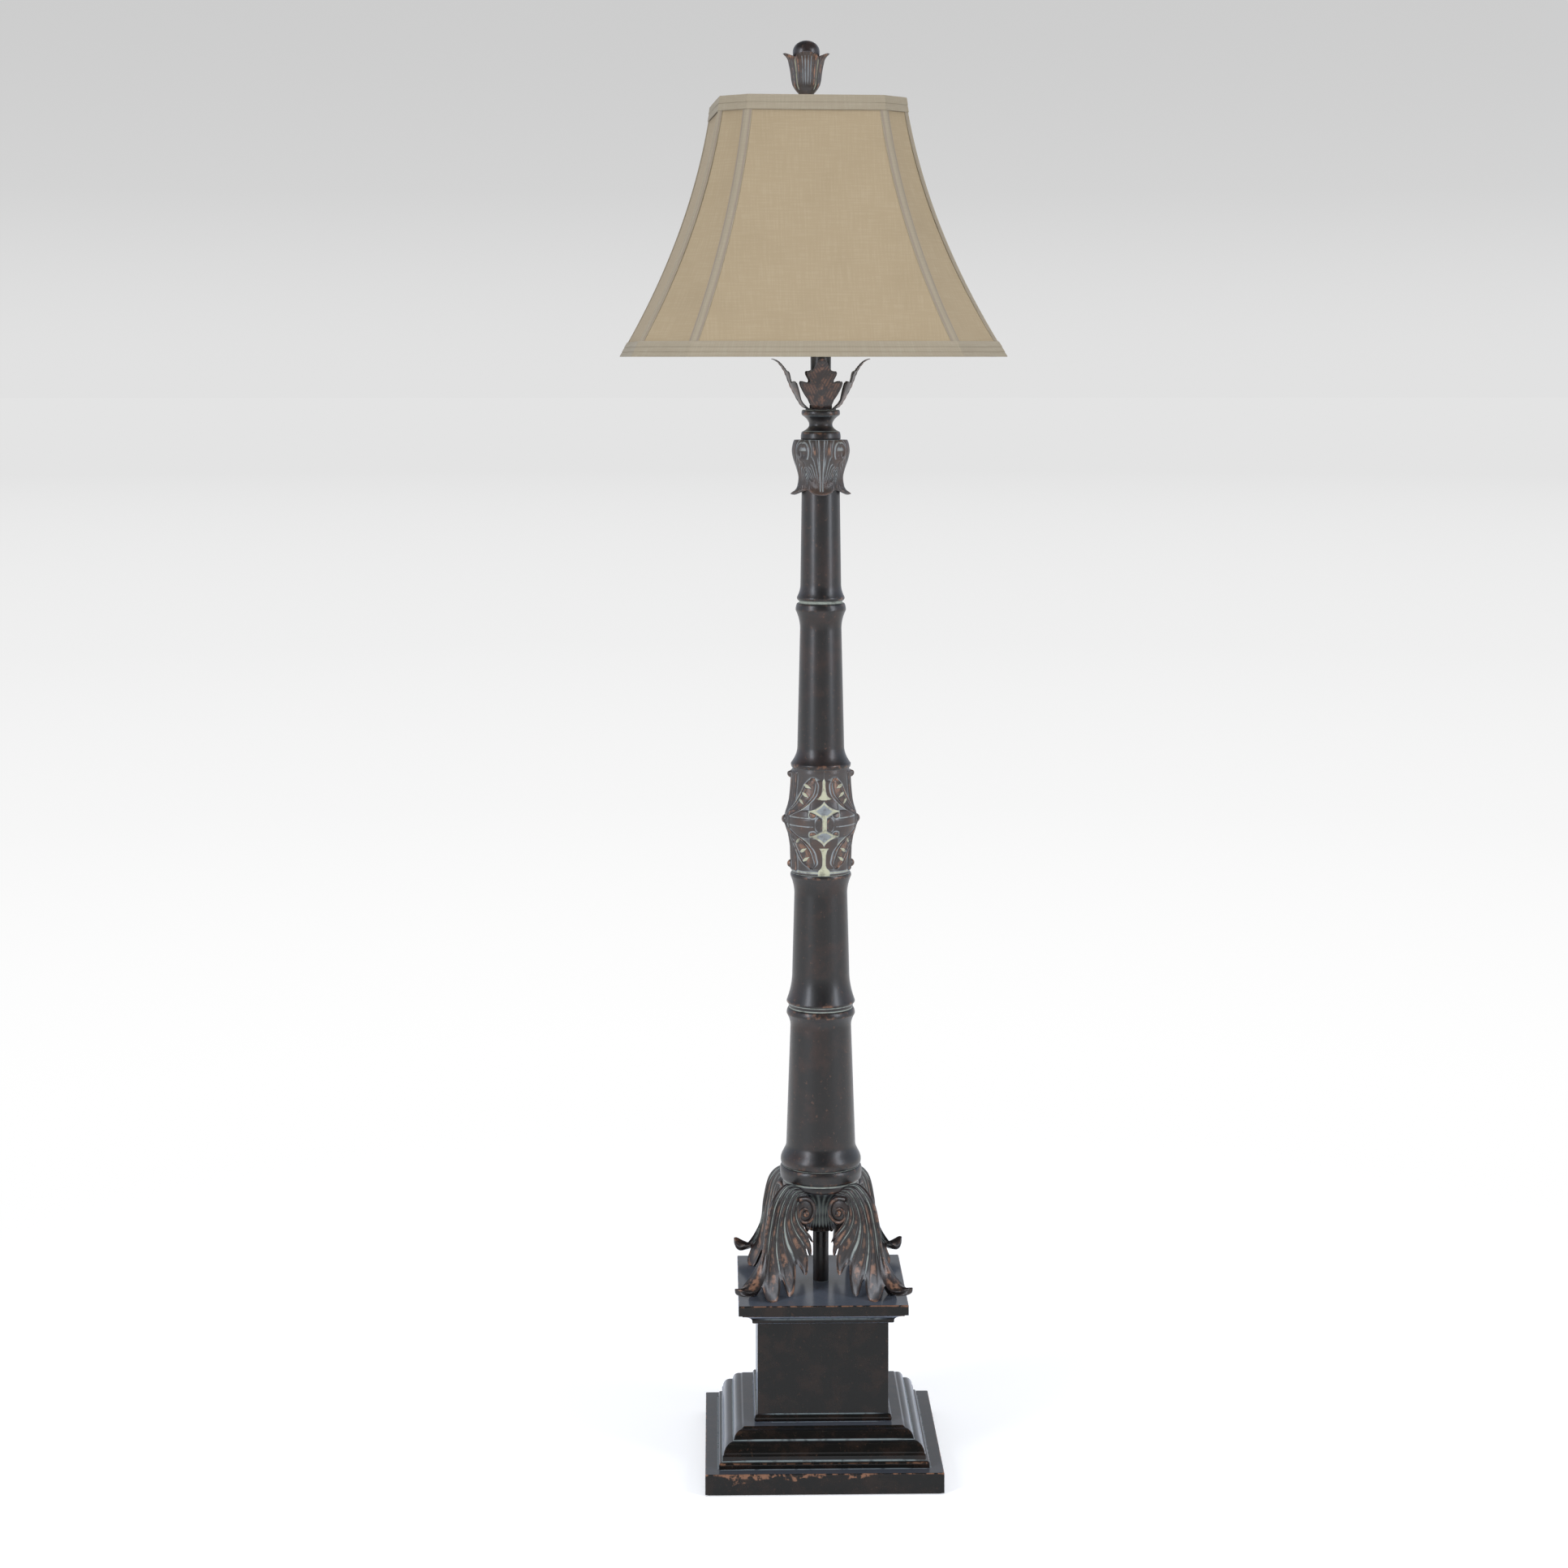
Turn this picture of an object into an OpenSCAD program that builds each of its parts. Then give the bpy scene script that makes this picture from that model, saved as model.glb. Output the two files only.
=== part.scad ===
// Candlestick floor lamp: stepped square base, four acanthus scroll legs, turned and carved column,
// cut-corner bell shade on a harp, tulip finial.
// Millimetres. +Z is up, the front is -Y, and the origin is the centre of the base's underside.

/* [Base] */
// Thickness of the felt under the base
felt_t = 1.5; // [1:0.5:3]
// Width of the square base plate
plate_w = 269.4; // [250:0.2:290]
// Thickness of the base plate
plate_h = 22.5; // [18:0.5:30]
// Width of the lower fillet
fillet_lower_w = 238.2; // [234:0.2:246]
// Width of the upper fillet
fillet_upper_w = 228; // [222:0.5:232]
// Height of each fillet
fillet_h = 7.2; // [5:0.1:10]
// Width of the ogee at its top
ogee_top_w = 181.8; // [170:0.2:190]
// Height of the ogee
ogee_h = 24.4; // [18:0.2:32]
// Width of the bead on top of the ogee
bead_w = 157.2; // [154:0.2:164]
// Height of that bead
bead_h = 8; // [5:0.5:12]
// Width of the plinth box
box_w = 150; // [144:1:152]
// Height of the plinth box
box_h = 105.2; // [80:0.2:140]
// Wall of the plinth box and of the hollow mouldings
box_wall = 12; // [8:1:16]
// Width of the cove under the cap, at its foot
cove_foot_w = 162.4; // [156:0.2:170]
// Width of the cove under the cap, at its top
cove_top_w = 185.4; // [176:0.2:190]
// Height of the cove
cove_h = 13.7; // [8:0.1:20]
// Width of the square cap
cap_w = 193.8; // [190:0.2:200]
// Thickness of the cap
cap_h = 11.3; // [8:0.1:16]
// Width of the ballast weight in the base plate
ballast_w = 190; // [150:1:194]
// Bore of the cord bush
cord_bore = 7; // [6:0.5:8]

/* [Legs] */
// Height from the cap to the underside of the ring turning
leg_h = 110; // [108:1:114]
// Thickness of a leg's casting at its shoulder
leg_wall = 8; // [6:0.5:9]
// Height of the raised ribs on a leg's leaf
leg_relief = 1.7; // [0.5:0.1:2.5]
// Depth of the notches between a leaf's lobes, as a share of its length
leg_notch = 0.13; // [0.05:0.01:0.2]
// Diameter of a volute
volute_d = 20.5; // [16:0.5:22]
// Diameter of the bare pipe between the legs
pipe_d = 18.2; // [15:0.2:22]
// Height of the fluted hub
hub_h = 49; // [40:1:60]

/* [Column] */
// Height of the ring turning
ring_h = 27; // [24:1:32]
// Height of the lowest column section
lower_h = 183; // [170:1:200]
// Height of the second column section
middle_h = 158; // [150:1:175]
// Height of the carved knop
knop_h = 122; // [116:1:130]
// Height of the third column section
upper_h = 192.5; // [185:0.5:205]
// Height of the top column section, with the capital's core
top_h = 190.5; // [180:0.5:200]
// Height of the capital
capital_h = 67; // [60:1:72]
// Reach of the capital's leaf tips from the axis
capital_tip_r = 34.5; // [30:0.5:38]
// Height of the neck spool
spool_h = 35; // [30:1:42]
// Diameter of the threaded rods
rod_d = 10; // [9.6:0.1:10.2]

/* [Neck and lamp holder] */
// Diameter of the neck tube
neck_d = 24; // [22:0.5:26]
// Length of the neck tube
neck_h = 78; // [70:1:84]
// Height of the sheet-metal leaves above the spool
rosette_h = 59.5; // [50:0.5:66]
// Distance from the axis to each post of the harp saddle
saddle_r = 23; // [22:0.5:25]
// Diameter of the bulb
bulb_d = 60; // [55:1:65]

/* [Shade] */
// Half of the shade's width across its flats, at the top
shade_top_half = 106; // [100:1:112]
// Half of the shade's width across its flats, at the bottom
shade_foot_half = 211; // [200:1:216]
// Height of the shade
shade_h = 297.7; // [290:0.1:304]
// Half length of a main panel over the half width, so 1 would leave no cut corner
shade_corner = 0.724; // [0.68:0.002:0.78]
// Share of the flare that is a straight slope: the rest bells out
shade_slope = 0.39; // [0.3:0.01:0.6]
// Turn of the shade about its stud, as photographed
shade_turn = 4.2; // [0:0.1:8]
// Sideways bend of the harp, which sets the shade off the column's axis
harp_lean = 17; // [0:0.5:20]
// Height of the threaded stud's seat above the floor
seat_z = 1572; // [1570:0.5:1573]
// Width of the ribbon over each seam
ribbon_w = 12; // [8:0.5:15]

/* [Finial] */
// Height of the finial's tip above the seat
finial_h = 79; // [74:0.5:84]
// Reach of the petal tips from the finial's axis
petal_r = 27.3; // [24:0.1:29]
// Diameter of the bud
bud_d = 31.6; // [29:0.2:33]

/* [Hidden] */

$fn = 96;

// Colours of the parts
bronze = "#342e2e";
bronze_light = "#4a4042";
iron = "#4b4b4d";
brass = "#b08d4c";
steel = "#9a9b9d";
cloth = "#b4a68a";
cloth_trim = "#ada58e";

// Heights of the base's pieces
z_plate = felt_t;
z_fillet = z_plate + plate_h;
z_ogee = z_fillet + 2 * fillet_h;
z_bead = z_ogee + ogee_h;
z_box = z_bead + bead_h;
z_cove = z_box + box_h;
z_cap = z_cove + cove_h;
z_cap_top = z_cap + cap_h;

// Heights of the column's pieces
z_ring = z_cap_top + leg_h;
z_lower = z_ring + ring_h;
z_middle = z_lower + lower_h;
z_knop = z_middle + middle_h;
z_upper = z_knop + knop_h;
z_top = z_upper + upper_h;
z_spool = z_top + top_h;
z_capital = z_spool - capital_h;
z_neck = z_spool + spool_h;
z_neck_top = z_neck + neck_h;

// Room round the rods, and the depths of the base's hollows
rod_r = rod_d / 2;
rod_hole_r = rod_r + 0.3;
rod_bore_r = 3.5;
frame_hole = box_w - 2 * box_wall;
pocket_w = ballast_w + 6;
pocket_h = 15.5;
nut_h = 5;
washer_h = 1.5;
z_nut = z_plate + 1;
z_cord = z_plate + 10.5;
bush_r = cord_bore / 2 + 1.6;
bush_flange_r = bush_r + 2.4;
bush_flange_t = 2;
bush_y = pocket_w / 2 + 2;

// Lamp holder
saddle_t = 2.5;
saddle_w = 14;
post_r = 2.6;
post_h = 19;
z_post_top = z_neck_top + post_h;
neck_nut_h = 4.5;
z_socket = z_neck_top + saddle_t + neck_nut_h;
socket_r = 17;
socket_wall = 0.8;
z_shell = z_socket + 18;
z_shell_top = z_shell + 44;
core_r = 14.6;
bulb_base_r = 13;
core_bore_r = bulb_base_r + 0.06;
z_bulb_base = z_shell + 16;
bulb_h = 84;
key_z = z_shell + 8;
key_shaft_r = 2;
key_hole_r = key_shaft_r + 0.4;

// Harp
wire_r = 1.9;
harp_x = -harp_lean;
stud_r = 3.1;
stud_h = 14;
disc_r = 9;
disc_h = 2.6;
sleeve_h = 12;
sleeve_r = 4;
sleeve_bore_r = post_r + 0.06;

// Shade
z_shade_top = seat_z + 6.7;
z_shade_foot = z_shade_top - shade_h;
panel_t = 1.2;
ribbon_t = 0.8;
binding_t = 1.3;
binding_h = 17.5;
frame_wire_r = 1.6;
lining_gap = 5.2;
lining_t = 0.5;
hub_ring_r = 11.5;
hub_ring_h = 2.4;
panel_rows = 9;

// Finial
petal_h = 62;
cup_floor = 40;
cup_neck_r = 8;
insert_r = 6;
insert_h = 14;
insert_bore_r = stud_r + 0.06;

// ---------- curves and skins ----------

function catmull(a, b, c, d, t) =
    0.5 * (2 * b + (c - a) * t + (2 * a - 5 * b + 4 * c - d) * t * t + (3 * b - a - 3 * c + d) * t * t * t);

// Point at share s, from 0 to 1, of a smooth curve through the points p
function along(p, s) =
    let (last = len(p) - 1, x = min(s * last, last - 0.00001), i = floor(x))
    catmull(p[max(i - 1, 0)], p[i], p[i + 1], p[min(i + 2, last)], x - i);

// Share of the way in radius and in height, at share t of one moulding of a turned outline
function step_r(kind, t) =
    kind == "round_out" ? sin(90 * t) :
    kind == "round_in" ? 1 - cos(90 * t) :
    kind == "ease" ? (1 - cos(180 * t)) / 2 :
    kind == "flare_in" ? 1 - (1 - t) * (1 - t) :
    kind == "flare_out" ? t * t : t;
function step_z(kind, t) =
    kind == "round_out" ? 1 - cos(90 * t) :
    kind == "round_in" ? sin(90 * t) : t;
function step_count(kind) = kind == "line" ? 1 : 6;

// Outline of a turning: start is [radius, height], and each step is [kind, radius, height]
function turning(start, steps) =
    concat([start], [for (i = [0 : len(steps) - 1])
        let (a = i == 0 ? start : [steps[i - 1][1], steps[i - 1][2]], b = [steps[i][1], steps[i][2]],
            kind = steps[i][0], n = step_count(kind))
        for (k = [1 : n])
            [a[0] + (b[0] - a[0]) * step_r(kind, k / n), a[1] + (b[1] - a[1]) * step_z(kind, k / n)]]);

// Turned solid on the column's axis, bored for the rod
module turned(z, h, outline, bore_r = rod_hole_r) {
    translate([0, 0, z]) difference() {
        rotate_extrude() polygon(concat([[0, 0]], outline, [[0, h]]));
        translate([0, 0, -1]) cylinder(r = bore_r, h = h + 2);
    }
}

// Solid between closed sections of equal length: open-ended with caps, or closed on itself
module loft(sections, closed = false) {
    n = len(sections[0]);
    m = len(sections);
    last = closed ? m - 1 : m - 2;
    sides = [for (i = [0 : last], j = [0 : n - 1])
        let (a = i * n + j, b = i * n + (j + 1) % n, c = ((i + 1) % m) * n + j, d = ((i + 1) % m) * n + (j + 1) % n)
        each [[a, b, d], [a, d, c]]];
    caps = closed ? [] : concat(
        [for (j = [1 : n - 2]) [0, j + 1, j]],
        [for (j = [1 : n - 2]) [(m - 1) * n, (m - 1) * n + j, (m - 1) * n + j + 1]]);
    polyhedron(points = [for (s = sections) each s], faces = concat(sides, caps), convexity = 6);
}

// Solid between two grids of points, joined round their four edges
module shell(outer, inner) {
    rows = len(outer);
    cols = len(outer[0]);
    total = rows * cols;
    function at(i, j) = i * cols + j;
    front = [for (i = [0 : rows - 2], j = [0 : cols - 2])
        each [[at(i, j), at(i, j + 1), at(i + 1, j + 1)], [at(i, j), at(i + 1, j + 1), at(i + 1, j)]]];
    back = [for (f = front) [f[0] + total, f[2] + total, f[1] + total]];
    edge = concat([for (j = [0 : cols - 1]) at(0, j)], [for (i = [1 : rows - 1]) at(i, cols - 1)],
        [for (j = [cols - 2 : -1 : 0]) at(rows - 1, j)], [for (i = [rows - 2 : -1 : 1]) at(i, 0)]);
    rim = [for (k = [0 : len(edge) - 1])
        let (a = edge[k], b = edge[(k + 1) % len(edge)])
        each [[a, a + total, b + total], [a, b + total, b]]];
    polyhedron(points = concat([for (r = outer) each r], [for (r = inner) each r]),
        faces = concat(front, back, rim), convexity = 8);
}

// Round wire of radius r along points that lie in the XZ plane
module wire(points, r, sides = 8) {
    last = len(points) - 1;
    loft([for (i = [0 : last])
        let (d = points[min(i + 1, last)] - points[max(i - 1, 0)], a = atan2(d[2], d[0]))
        [for (k = [0 : sides - 1])
            let (s = 360 * k / sides)
            points[i] + r * [-sin(a) * cos(s), sin(s), cos(a) * cos(s)]]]);
}

// ---------- base ----------

module square_prism(w, z, h) {
    translate([-w / 2, -w / 2, z]) cube([w, w, h]);
}

// Frame of moulding with the same outline on its four sides, mitred at the corners
module square_moulding(outline, h, hole_w) {
    reach = 400;
    module bar() {
        rotate([90, 0, 0]) linear_extrude(reach, center = true) polygon(outline);
    }
    difference() {
        intersection() {
            bar();
            rotate([0, 0, 90]) bar();
        }
        square_prism(hole_w, -1, h + 2);
    }
}

// Both sides of a half outline of [half width, height] points
function mirrored(half) = concat(half, [for (i = [len(half) - 1 : -1 : 0]) [-half[i][0], half[i][1]]]);

module floor_felt() color(bronze_light) square_prism(plate_w - 6, 0, felt_t);

module base_plate() color(bronze) difference() {
    square_prism(plate_w, z_plate, plate_h);
    square_prism(pocket_w, z_plate - 1, pocket_h + 1);
    translate([0, 0, z_plate]) cylinder(r = rod_hole_r, h = plate_h + 1);
    translate([0, pocket_w / 2 - 1, z_cord]) rotate([-90, 0, 0]) cylinder(r = bush_r, h = plate_w);
}

module ballast_weight() color(iron) difference() {
    square_prism(ballast_w, z_plate + 1.5, pocket_h - 1.5);
    translate([0, 0, z_plate]) cylinder(r = rod_hole_r, h = plate_h);
    translate([0, 0, z_plate]) cylinder(r = 16, h = z_nut + nut_h + washer_h - z_plate);
    translate([-cord_bore / 2 - 2, 0, z_plate]) cube([cord_bore + 4, ballast_w, 10]);
}

module cord_bush() color(iron) translate([0, 0, z_cord]) rotate([-90, 0, 0]) difference() {
    union() {
        translate([0, 0, bush_y]) cylinder(r = bush_r, h = plate_w / 2 - bush_y);
        translate([0, 0, plate_w / 2]) cylinder(r = bush_flange_r, h = bush_flange_t);
    }
    translate([0, 0, bush_y - 1]) cylinder(d = cord_bore, h = plate_w);
}

module bottom_nut() color(steel) translate([0, 0, z_nut]) difference() {
    cylinder(r = 9, h = nut_h, $fn = 6);
    translate([0, 0, -1]) cylinder(r = rod_r, h = nut_h + 2);
}

module bottom_washer() color(steel) translate([0, 0, z_nut + nut_h]) difference() {
    cylinder(r = 14, h = washer_h);
    translate([0, 0, -1]) cylinder(r = rod_hole_r, h = washer_h + 2);
}

module base_moulding() color(bronze) translate([0, 0, z_fillet]) {
    lower = fillet_lower_w / 2;
    upper = fillet_upper_w / 2;
    top = ogee_top_w / 2;
    mid = [(upper + top) / 2, 2 * fillet_h + ogee_h / 2];
    square_moulding(mirrored(concat(
        [[lower, 0], [lower, fillet_h - 1.4], [lower - 1.4, fillet_h], [upper + 1.2, fillet_h], [upper + 1.2, fillet_h * 2 - 0.8]],
        turning([upper, 2 * fillet_h], [["round_in", mid[0], mid[1]], ["round_in", top + 2, mid[1] + ogee_h * 0.42]]),
        [[top, 2 * fillet_h + ogee_h]])), 2 * fillet_h + ogee_h, frame_hole);
}

module plinth_bead() color(bronze) translate([0, 0, z_bead])
    square_moulding(mirrored(turning([bead_w / 2 - 1.6, 0],
        [["round_out", bead_w / 2, bead_h * 0.4], ["round_in", bead_w / 2 - 2, bead_h]])), bead_h, frame_hole);

module plinth_box() color(bronze) difference() {
    square_prism(box_w, z_box, box_h);
    square_prism(frame_hole, z_box - 1, box_h + 2);
}

module cap_moulding() color(bronze) translate([0, 0, z_cove]) {
    foot = cove_foot_w / 2;
    top = cove_top_w / 2;
    square_moulding(mirrored(concat([[foot - 1.8, 0], [foot, 0.8], [foot, 3]],
        turning([foot + 0.6, 3], [["flare_out", top - 1, cove_h - 2.4]]),
        [[top, cove_h - 2.4], [top, cove_h]])), cove_h, frame_hole);
}

module plinth_cap() color(bronze) difference() {
    square_prism(cap_w, z_cap, cap_h);
    translate([0, 0, z_cap - 1]) cylinder(r = rod_hole_r, h = cap_h + 2);
}

// ---------- legs ----------

// Ribs of half a leaf, from its ridge to its inner edge. Each runs from the leg's shoulder down to the tip of
// one lobe, as [across, out, up] from the column's axis and the cap, seen square to the lamp's front.
leg_ribs = [
    [[28, 28, 116], [42.4, 42.4, 121.5], [56.6, 56.6, 107], [63.6, 63.6, 79], [67.2, 67.2, 52], [76.4, 76.4, 26], [88, 88, 13.5], [101, 101, 17.5]],
    [[24.5, 33, 115.5], [38, 44.5, 118.5], [50, 54.5, 103], [56, 60, 77], [58.5, 64, 54], [58, 69, 31], [57, 75, 12], [59, 80, -1.5]],
    [[21.5, 35.5, 114.5], [34, 44.5, 115.5], [44, 52, 100], [49, 57, 77], [48, 58.5, 55], [43, 60, 37], [38.5, 63, 19], [37.5, 66, 2.5]],
    [[18.5, 36.5, 112.5], [30, 44, 112], [37.5, 50, 98.5], [39.5, 53, 84], [35, 53, 68], [27, 50.5, 53], [20.5, 50, 38], [19, 51.5, 24]],
    [[16, 37.5, 111.5], [27, 44, 109.5], [33, 48.5, 98], [33.5, 50.5, 86], [29, 49.5, 74], [21.5, 47.5, 63.5], [15.5, 46, 53], [14, 46, 44]],
    [[14.5, 38, 110.5], [24.5, 44, 106.5], [28.5, 46.5, 98], [28.5, 47.5, 89], [25.5, 47, 80.5], [19.5, 45.5, 72], [13.5, 43.5, 64], [11.5, 43, 57.5]]];
lobes = 2 * (len(leg_ribs) - 1);
leg_rows = 11;
leg_cols = 3 * lobes;
volute_at = [19.3, 43.5, 90];

function swapped(p) = [p[1], p[0], p[2]];
leg_fan = concat([for (i = [len(leg_ribs) - 1 : -1 : 1]) [for (p = leg_ribs[i]) swapped(p)]], leg_ribs);

// Point on a leg's leaf: u runs from the shoulder to the tips, w across from one inner edge to the other
function leaf_at(u, w) = along([for (rib = leg_fan) along(rib, u)], w);
function leaf_normal(u, w) =
    let (e = 0.02,
        du = leaf_at(min(u + e, 1), w) - leaf_at(max(u - e, 0), w),
        dw = leaf_at(u, min(w + e, 1)) - leaf_at(u, max(w - e, 0)),
        n = cross(dw, du))
    -n / norm(n);
function leaf_back(u, w) = leaf_at(u, w) - leaf_normal(u, w) * leg_wall * min(1 - 0.55 * u, 0.45 + 3 * u);
// Half of the share of the leaf's width, at its ridge, where the two blades are cast in one solid
leg_ridge = [[0, 0.1], [0.15, 0.2], [0.3, 0.27], [0.45, 0.28], [0.6, 0.22], [0.75, 0.14], [0.9, 0.1], [1, 0.07]];
function leaf_inside(u, w) = let (s = lookup(u, leg_ridge), k = (w - 0.5 + s) / (2 * s))
    k <= 0 || k >= 1 ? leaf_back(u, w) : leaf_back(u, 0.5 - s) * (1 - k) + leaf_back(u, 0.5 + s) * k;
// 1 on a rib and 0 in the groove between two ribs
function rib_wave(w) = (1 + cos(360 * lobes * w)) / 2;
function on_cap(p) = [p[0], p[1], max(p[2], 0)];

module scroll_leg(turn) color(bronze_light) rotate([0, 0, turn]) translate([0, 0, z_cap_top]) {
    grid = [for (i = [0 : leg_rows]) [for (j = [0 : leg_cols])
        let (w = j / leg_cols, u = i / leg_rows * (1 - leg_notch * pow(1 - rib_wave(w), 1.5)),
            rise = leg_relief * rib_wave(w) * sin(180 * min(u + 0.15, 0.9)))
        [leaf_at(u, w) + leaf_normal(u, w) * rise, leaf_inside(u, w)]]];
    shell([for (row = grid) [for (p = row) on_cap(p[0])]], [for (row = grid) [for (p = row) on_cap(p[1])]]);
    for (side = [0, 1]) mirror([side, -side, 0]) volute();
}

// Scroll on a leaf's inner edge: a spiral band on a web, with an eye. The band's middle line is given as
// [towards the column, up] from the eye, for a scroll of 20.5 across.
volute_band = [[-3, 16.5], [6, 14.5], [12, 8.5], [13.3, 0], [9, -8.5], [0, -11.3], [-7.5, -6.5], [-9, 1],
    [-5, 7.5], [2.5, 8.2], [6.2, 4.4]];
module volute() {
    module post(p) {
        translate([-p[0], -p[1], 0] * volute_d / 20.5) cylinder(r = 1.7, h = 7, center = true, $fn = 6);
    }
    translate(volute_at) rotate([0, 0, 23]) rotate([-90, 0, 0]) {
        cylinder(d = volute_d, h = 4.4, center = true, $fn = 16);
        cylinder(d = volute_d * 0.3, h = 7.6, center = true, $fn = 10);
        for (k = [1 : len(volute_band) - 1]) hull() {
            post(volute_band[k - 1]);
            post(volute_band[k]);
        }
    }
}

module centre_pipe() color(bronze) translate([0, 0, z_cap_top]) difference() {
    cylinder(d = pipe_d, h = leg_h - hub_h);
    translate([0, 0, -1]) cylinder(r = rod_hole_r, h = leg_h);
}

module scroll_hub() color(bronze_light) turned(z_ring - hub_h, hub_h, turning([16.4, 0],
    [["round_out", 17.6, 2.5], ["flare_in", 13.5, 16], ["line", 13.5, 20], ["flare_out", 36, hub_h]]));

// ---------- column ----------

// Outlines of the turnings, from the foot up
ring_outline = turning([37, 0], [["round_out", 44.4, 4], ["round_in", 44, 8.5], ["line", 43.6, 10.5],
    ["round_out", 47.2, 13.5], ["line", 47.9, 20.5], ["round_in", 45.2, ring_h]]);
lower_outline = turning([44.8, 0], [["round_out", 46.9, 6], ["ease", 40.3, 25], ["line", 35.5, lower_h - 21],
    ["flare_out", 40, lower_h - 7], ["round_in", 36.9, lower_h]]);
middle_outline = turning([37.2, 0], [["line", 38, 5], ["round_out", 40, 7.8], ["flare_in", 33.4, 42],
    ["line", 31, middle_h - 25], ["flare_out", 35.7, middle_h - 4], ["round_in", 34.4, middle_h]]);
upper_outline = turning([33.2, 0], [["round_out", 35.2, 5], ["flare_in", 27.4, 25], ["line", 24.3, upper_h - 30],
    ["flare_out", 29.5, upper_h - 8.5], ["round_in", 26.6, upper_h]]);
top_shaft_h = top_h - capital_h + 14;
core_top_r = 20.6;
top_outline = turning([25.3, 0], [["line", 25.5, 2.5], ["round_out", 28.1, 6.2], ["flare_in", 23.9, 21.5],
    ["line", 22.3, top_shaft_h], ["line", core_top_r, top_shaft_h], ["line", core_top_r, top_h]]);
spool_outline = turning([22.5, 0], [["round_out", 23.4, 2.5], ["round_in", 21.8, 9.4], ["flare_in", 13.6, 17.5],
    ["flare_out", 20.8, 28], ["line", 21.4, 28.4], ["round_out", 22.6, 31], ["round_in", 21.2, spool_h]]);

// Hollow casting: a turning with a chamber of radius chamber_r between its end walls
module hollow_turned(z, h, outline, chamber_r) {
    end_wall = 8;
    difference() {
        turned(z, h, outline);
        translate([0, 0, z + end_wall]) cylinder(r = chamber_r, h = h - 2 * end_wall);
    }
}

module ring_turning() color(bronze) turned(z_ring, ring_h, ring_outline);
module column_lower() color(bronze) hollow_turned(z_lower, lower_h, lower_outline, 28);
module column_middle() color(bronze) hollow_turned(z_middle, middle_h, middle_outline, 24);
module column_upper() color(bronze) hollow_turned(z_upper, upper_h, upper_outline, 17);
module column_top() color(bronze) hollow_turned(z_top, top_h, top_outline, 14);
module neck_spool() color(bronze) turned(z_spool, spool_h, spool_outline);

// Carving on the knop, the same on the front and the back: from a boss on each side two leaves sweep up and
// two sweep down to the middle of the face, and there is a small knob on each rim over and under the bosses.
knop_steps = 60;
knop_relief = 1.8;
knop_chamber_r = 26;
knop_wall = 8;
knop_body = [[34.3, 0], [34.6, 4], [34.6, 10], [35, 18], [35.4, 30], [36.4, 37], [38, 45], [40, 51], [41.7, 58],
    [41.8, 65], [40.6, 71], [38.2, 78], [36.6, 85], [35.5, 95], [34.8, 104], [34.5, 112], [34.5, 118], [33.8, 122]];
// A leaf from its root at a boss to its tip, as [degrees from the middle of the face, half width in degrees]
knop_leaf_line = [[80, 3], [66, 8], [50, 14], [39, 16.5], [31, 14.5], [25, 8], [22, 0.5]];
function face_angle(a) = let (m = (a + 450) % 180) min(m, 180 - m);
function bump(a, z, at, size) = let (d = (90 - a) * 0.7, v = z - at) max(0, 1 - (d * d + v * v) / (size * size));
function knop_at(a, z) =
    let (f = face_angle(a), v = abs(z / knop_h - 0.51) / 0.45, leaf = along(knop_leaf_line, min(v, 1)))
    knop_relief * (v > 1 || v < 0.08 ? 0 : max(0, 1 - pow((f - leaf[0]) / max(leaf[1], 0.5), 2)))
    + 4 * (bump(f, z, knop_h * 0.51, 6) + bump(f, z, 10, 5) + bump(f, z, knop_h - 7, 5));
module carved_knop() color(bronze_light) translate([0, 0, z_knop])
    loft([for (k = [0 : knop_steps - 1])
        let (a = -360 * k / knop_steps)
        concat([for (p = knop_body)
            let (z = p[1] * knop_h / 122, r = p[0] + knop_at(a, z))
            [r * cos(a), r * sin(a), z]],
            [for (p = [[rod_hole_r, knop_h], [rod_hole_r, knop_h - knop_wall], [knop_chamber_r, knop_h - knop_wall],
                [knop_chamber_r, knop_wall], [rod_hole_r, knop_wall], [rod_hole_r, 0]])
                [p[0] * cos(a), p[0] * sin(a), p[1]]])],
        closed = true);

// Four leaves that hang round the shaft and curl out at their tips, as one sleeve
capital_steps = 48;
capital_seat = top_shaft_h - (top_h - capital_h);
capital_rise = [[67, 30.5, 29], [63, 32.2, 30], [54, 33.4, 31], [44, 31.6, 29], [34, 28.2, 26.5],
    [24, 25.8, 24.6], [15, 26.6, 24], [9, 29, 23.6], [4.5, 34.5, 23.2], [3, 34.2, 22.9], [2.6, 30, 22.8], [5, 24.4, 22.8], [7, 23, 22.8]];
module capital() color(bronze_light) {
    scale_r = capital_tip_r / 34.5;
    scale_z = capital_h / 67;
    loft([for (k = [0 : capital_steps - 1])
        let (a = 360 * k / capital_steps, leaf = pow(abs(cos(2 * a)), 1.6))
        concat([for (p = capital_rise)
            let (r = p[0] > 30 ? p[1] - 2 * (1 - leaf) : p[2] + (p[1] - p[2]) * leaf,
                z = p[0] < 10 ? p[0] + 6 * (1 - leaf) : p[0])
            [r * scale_r * cos(a), r * scale_r * sin(a), z_capital + z * scale_z]],
            [for (p = [[22.7, capital_seat], [core_top_r + 0.3, capital_seat], [core_top_r + 0.3, capital_h]])
                [p[0] * cos(a), p[0] * sin(a), z_capital + p[1]]])],
        closed = true);
}

// ---------- neck ----------

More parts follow.
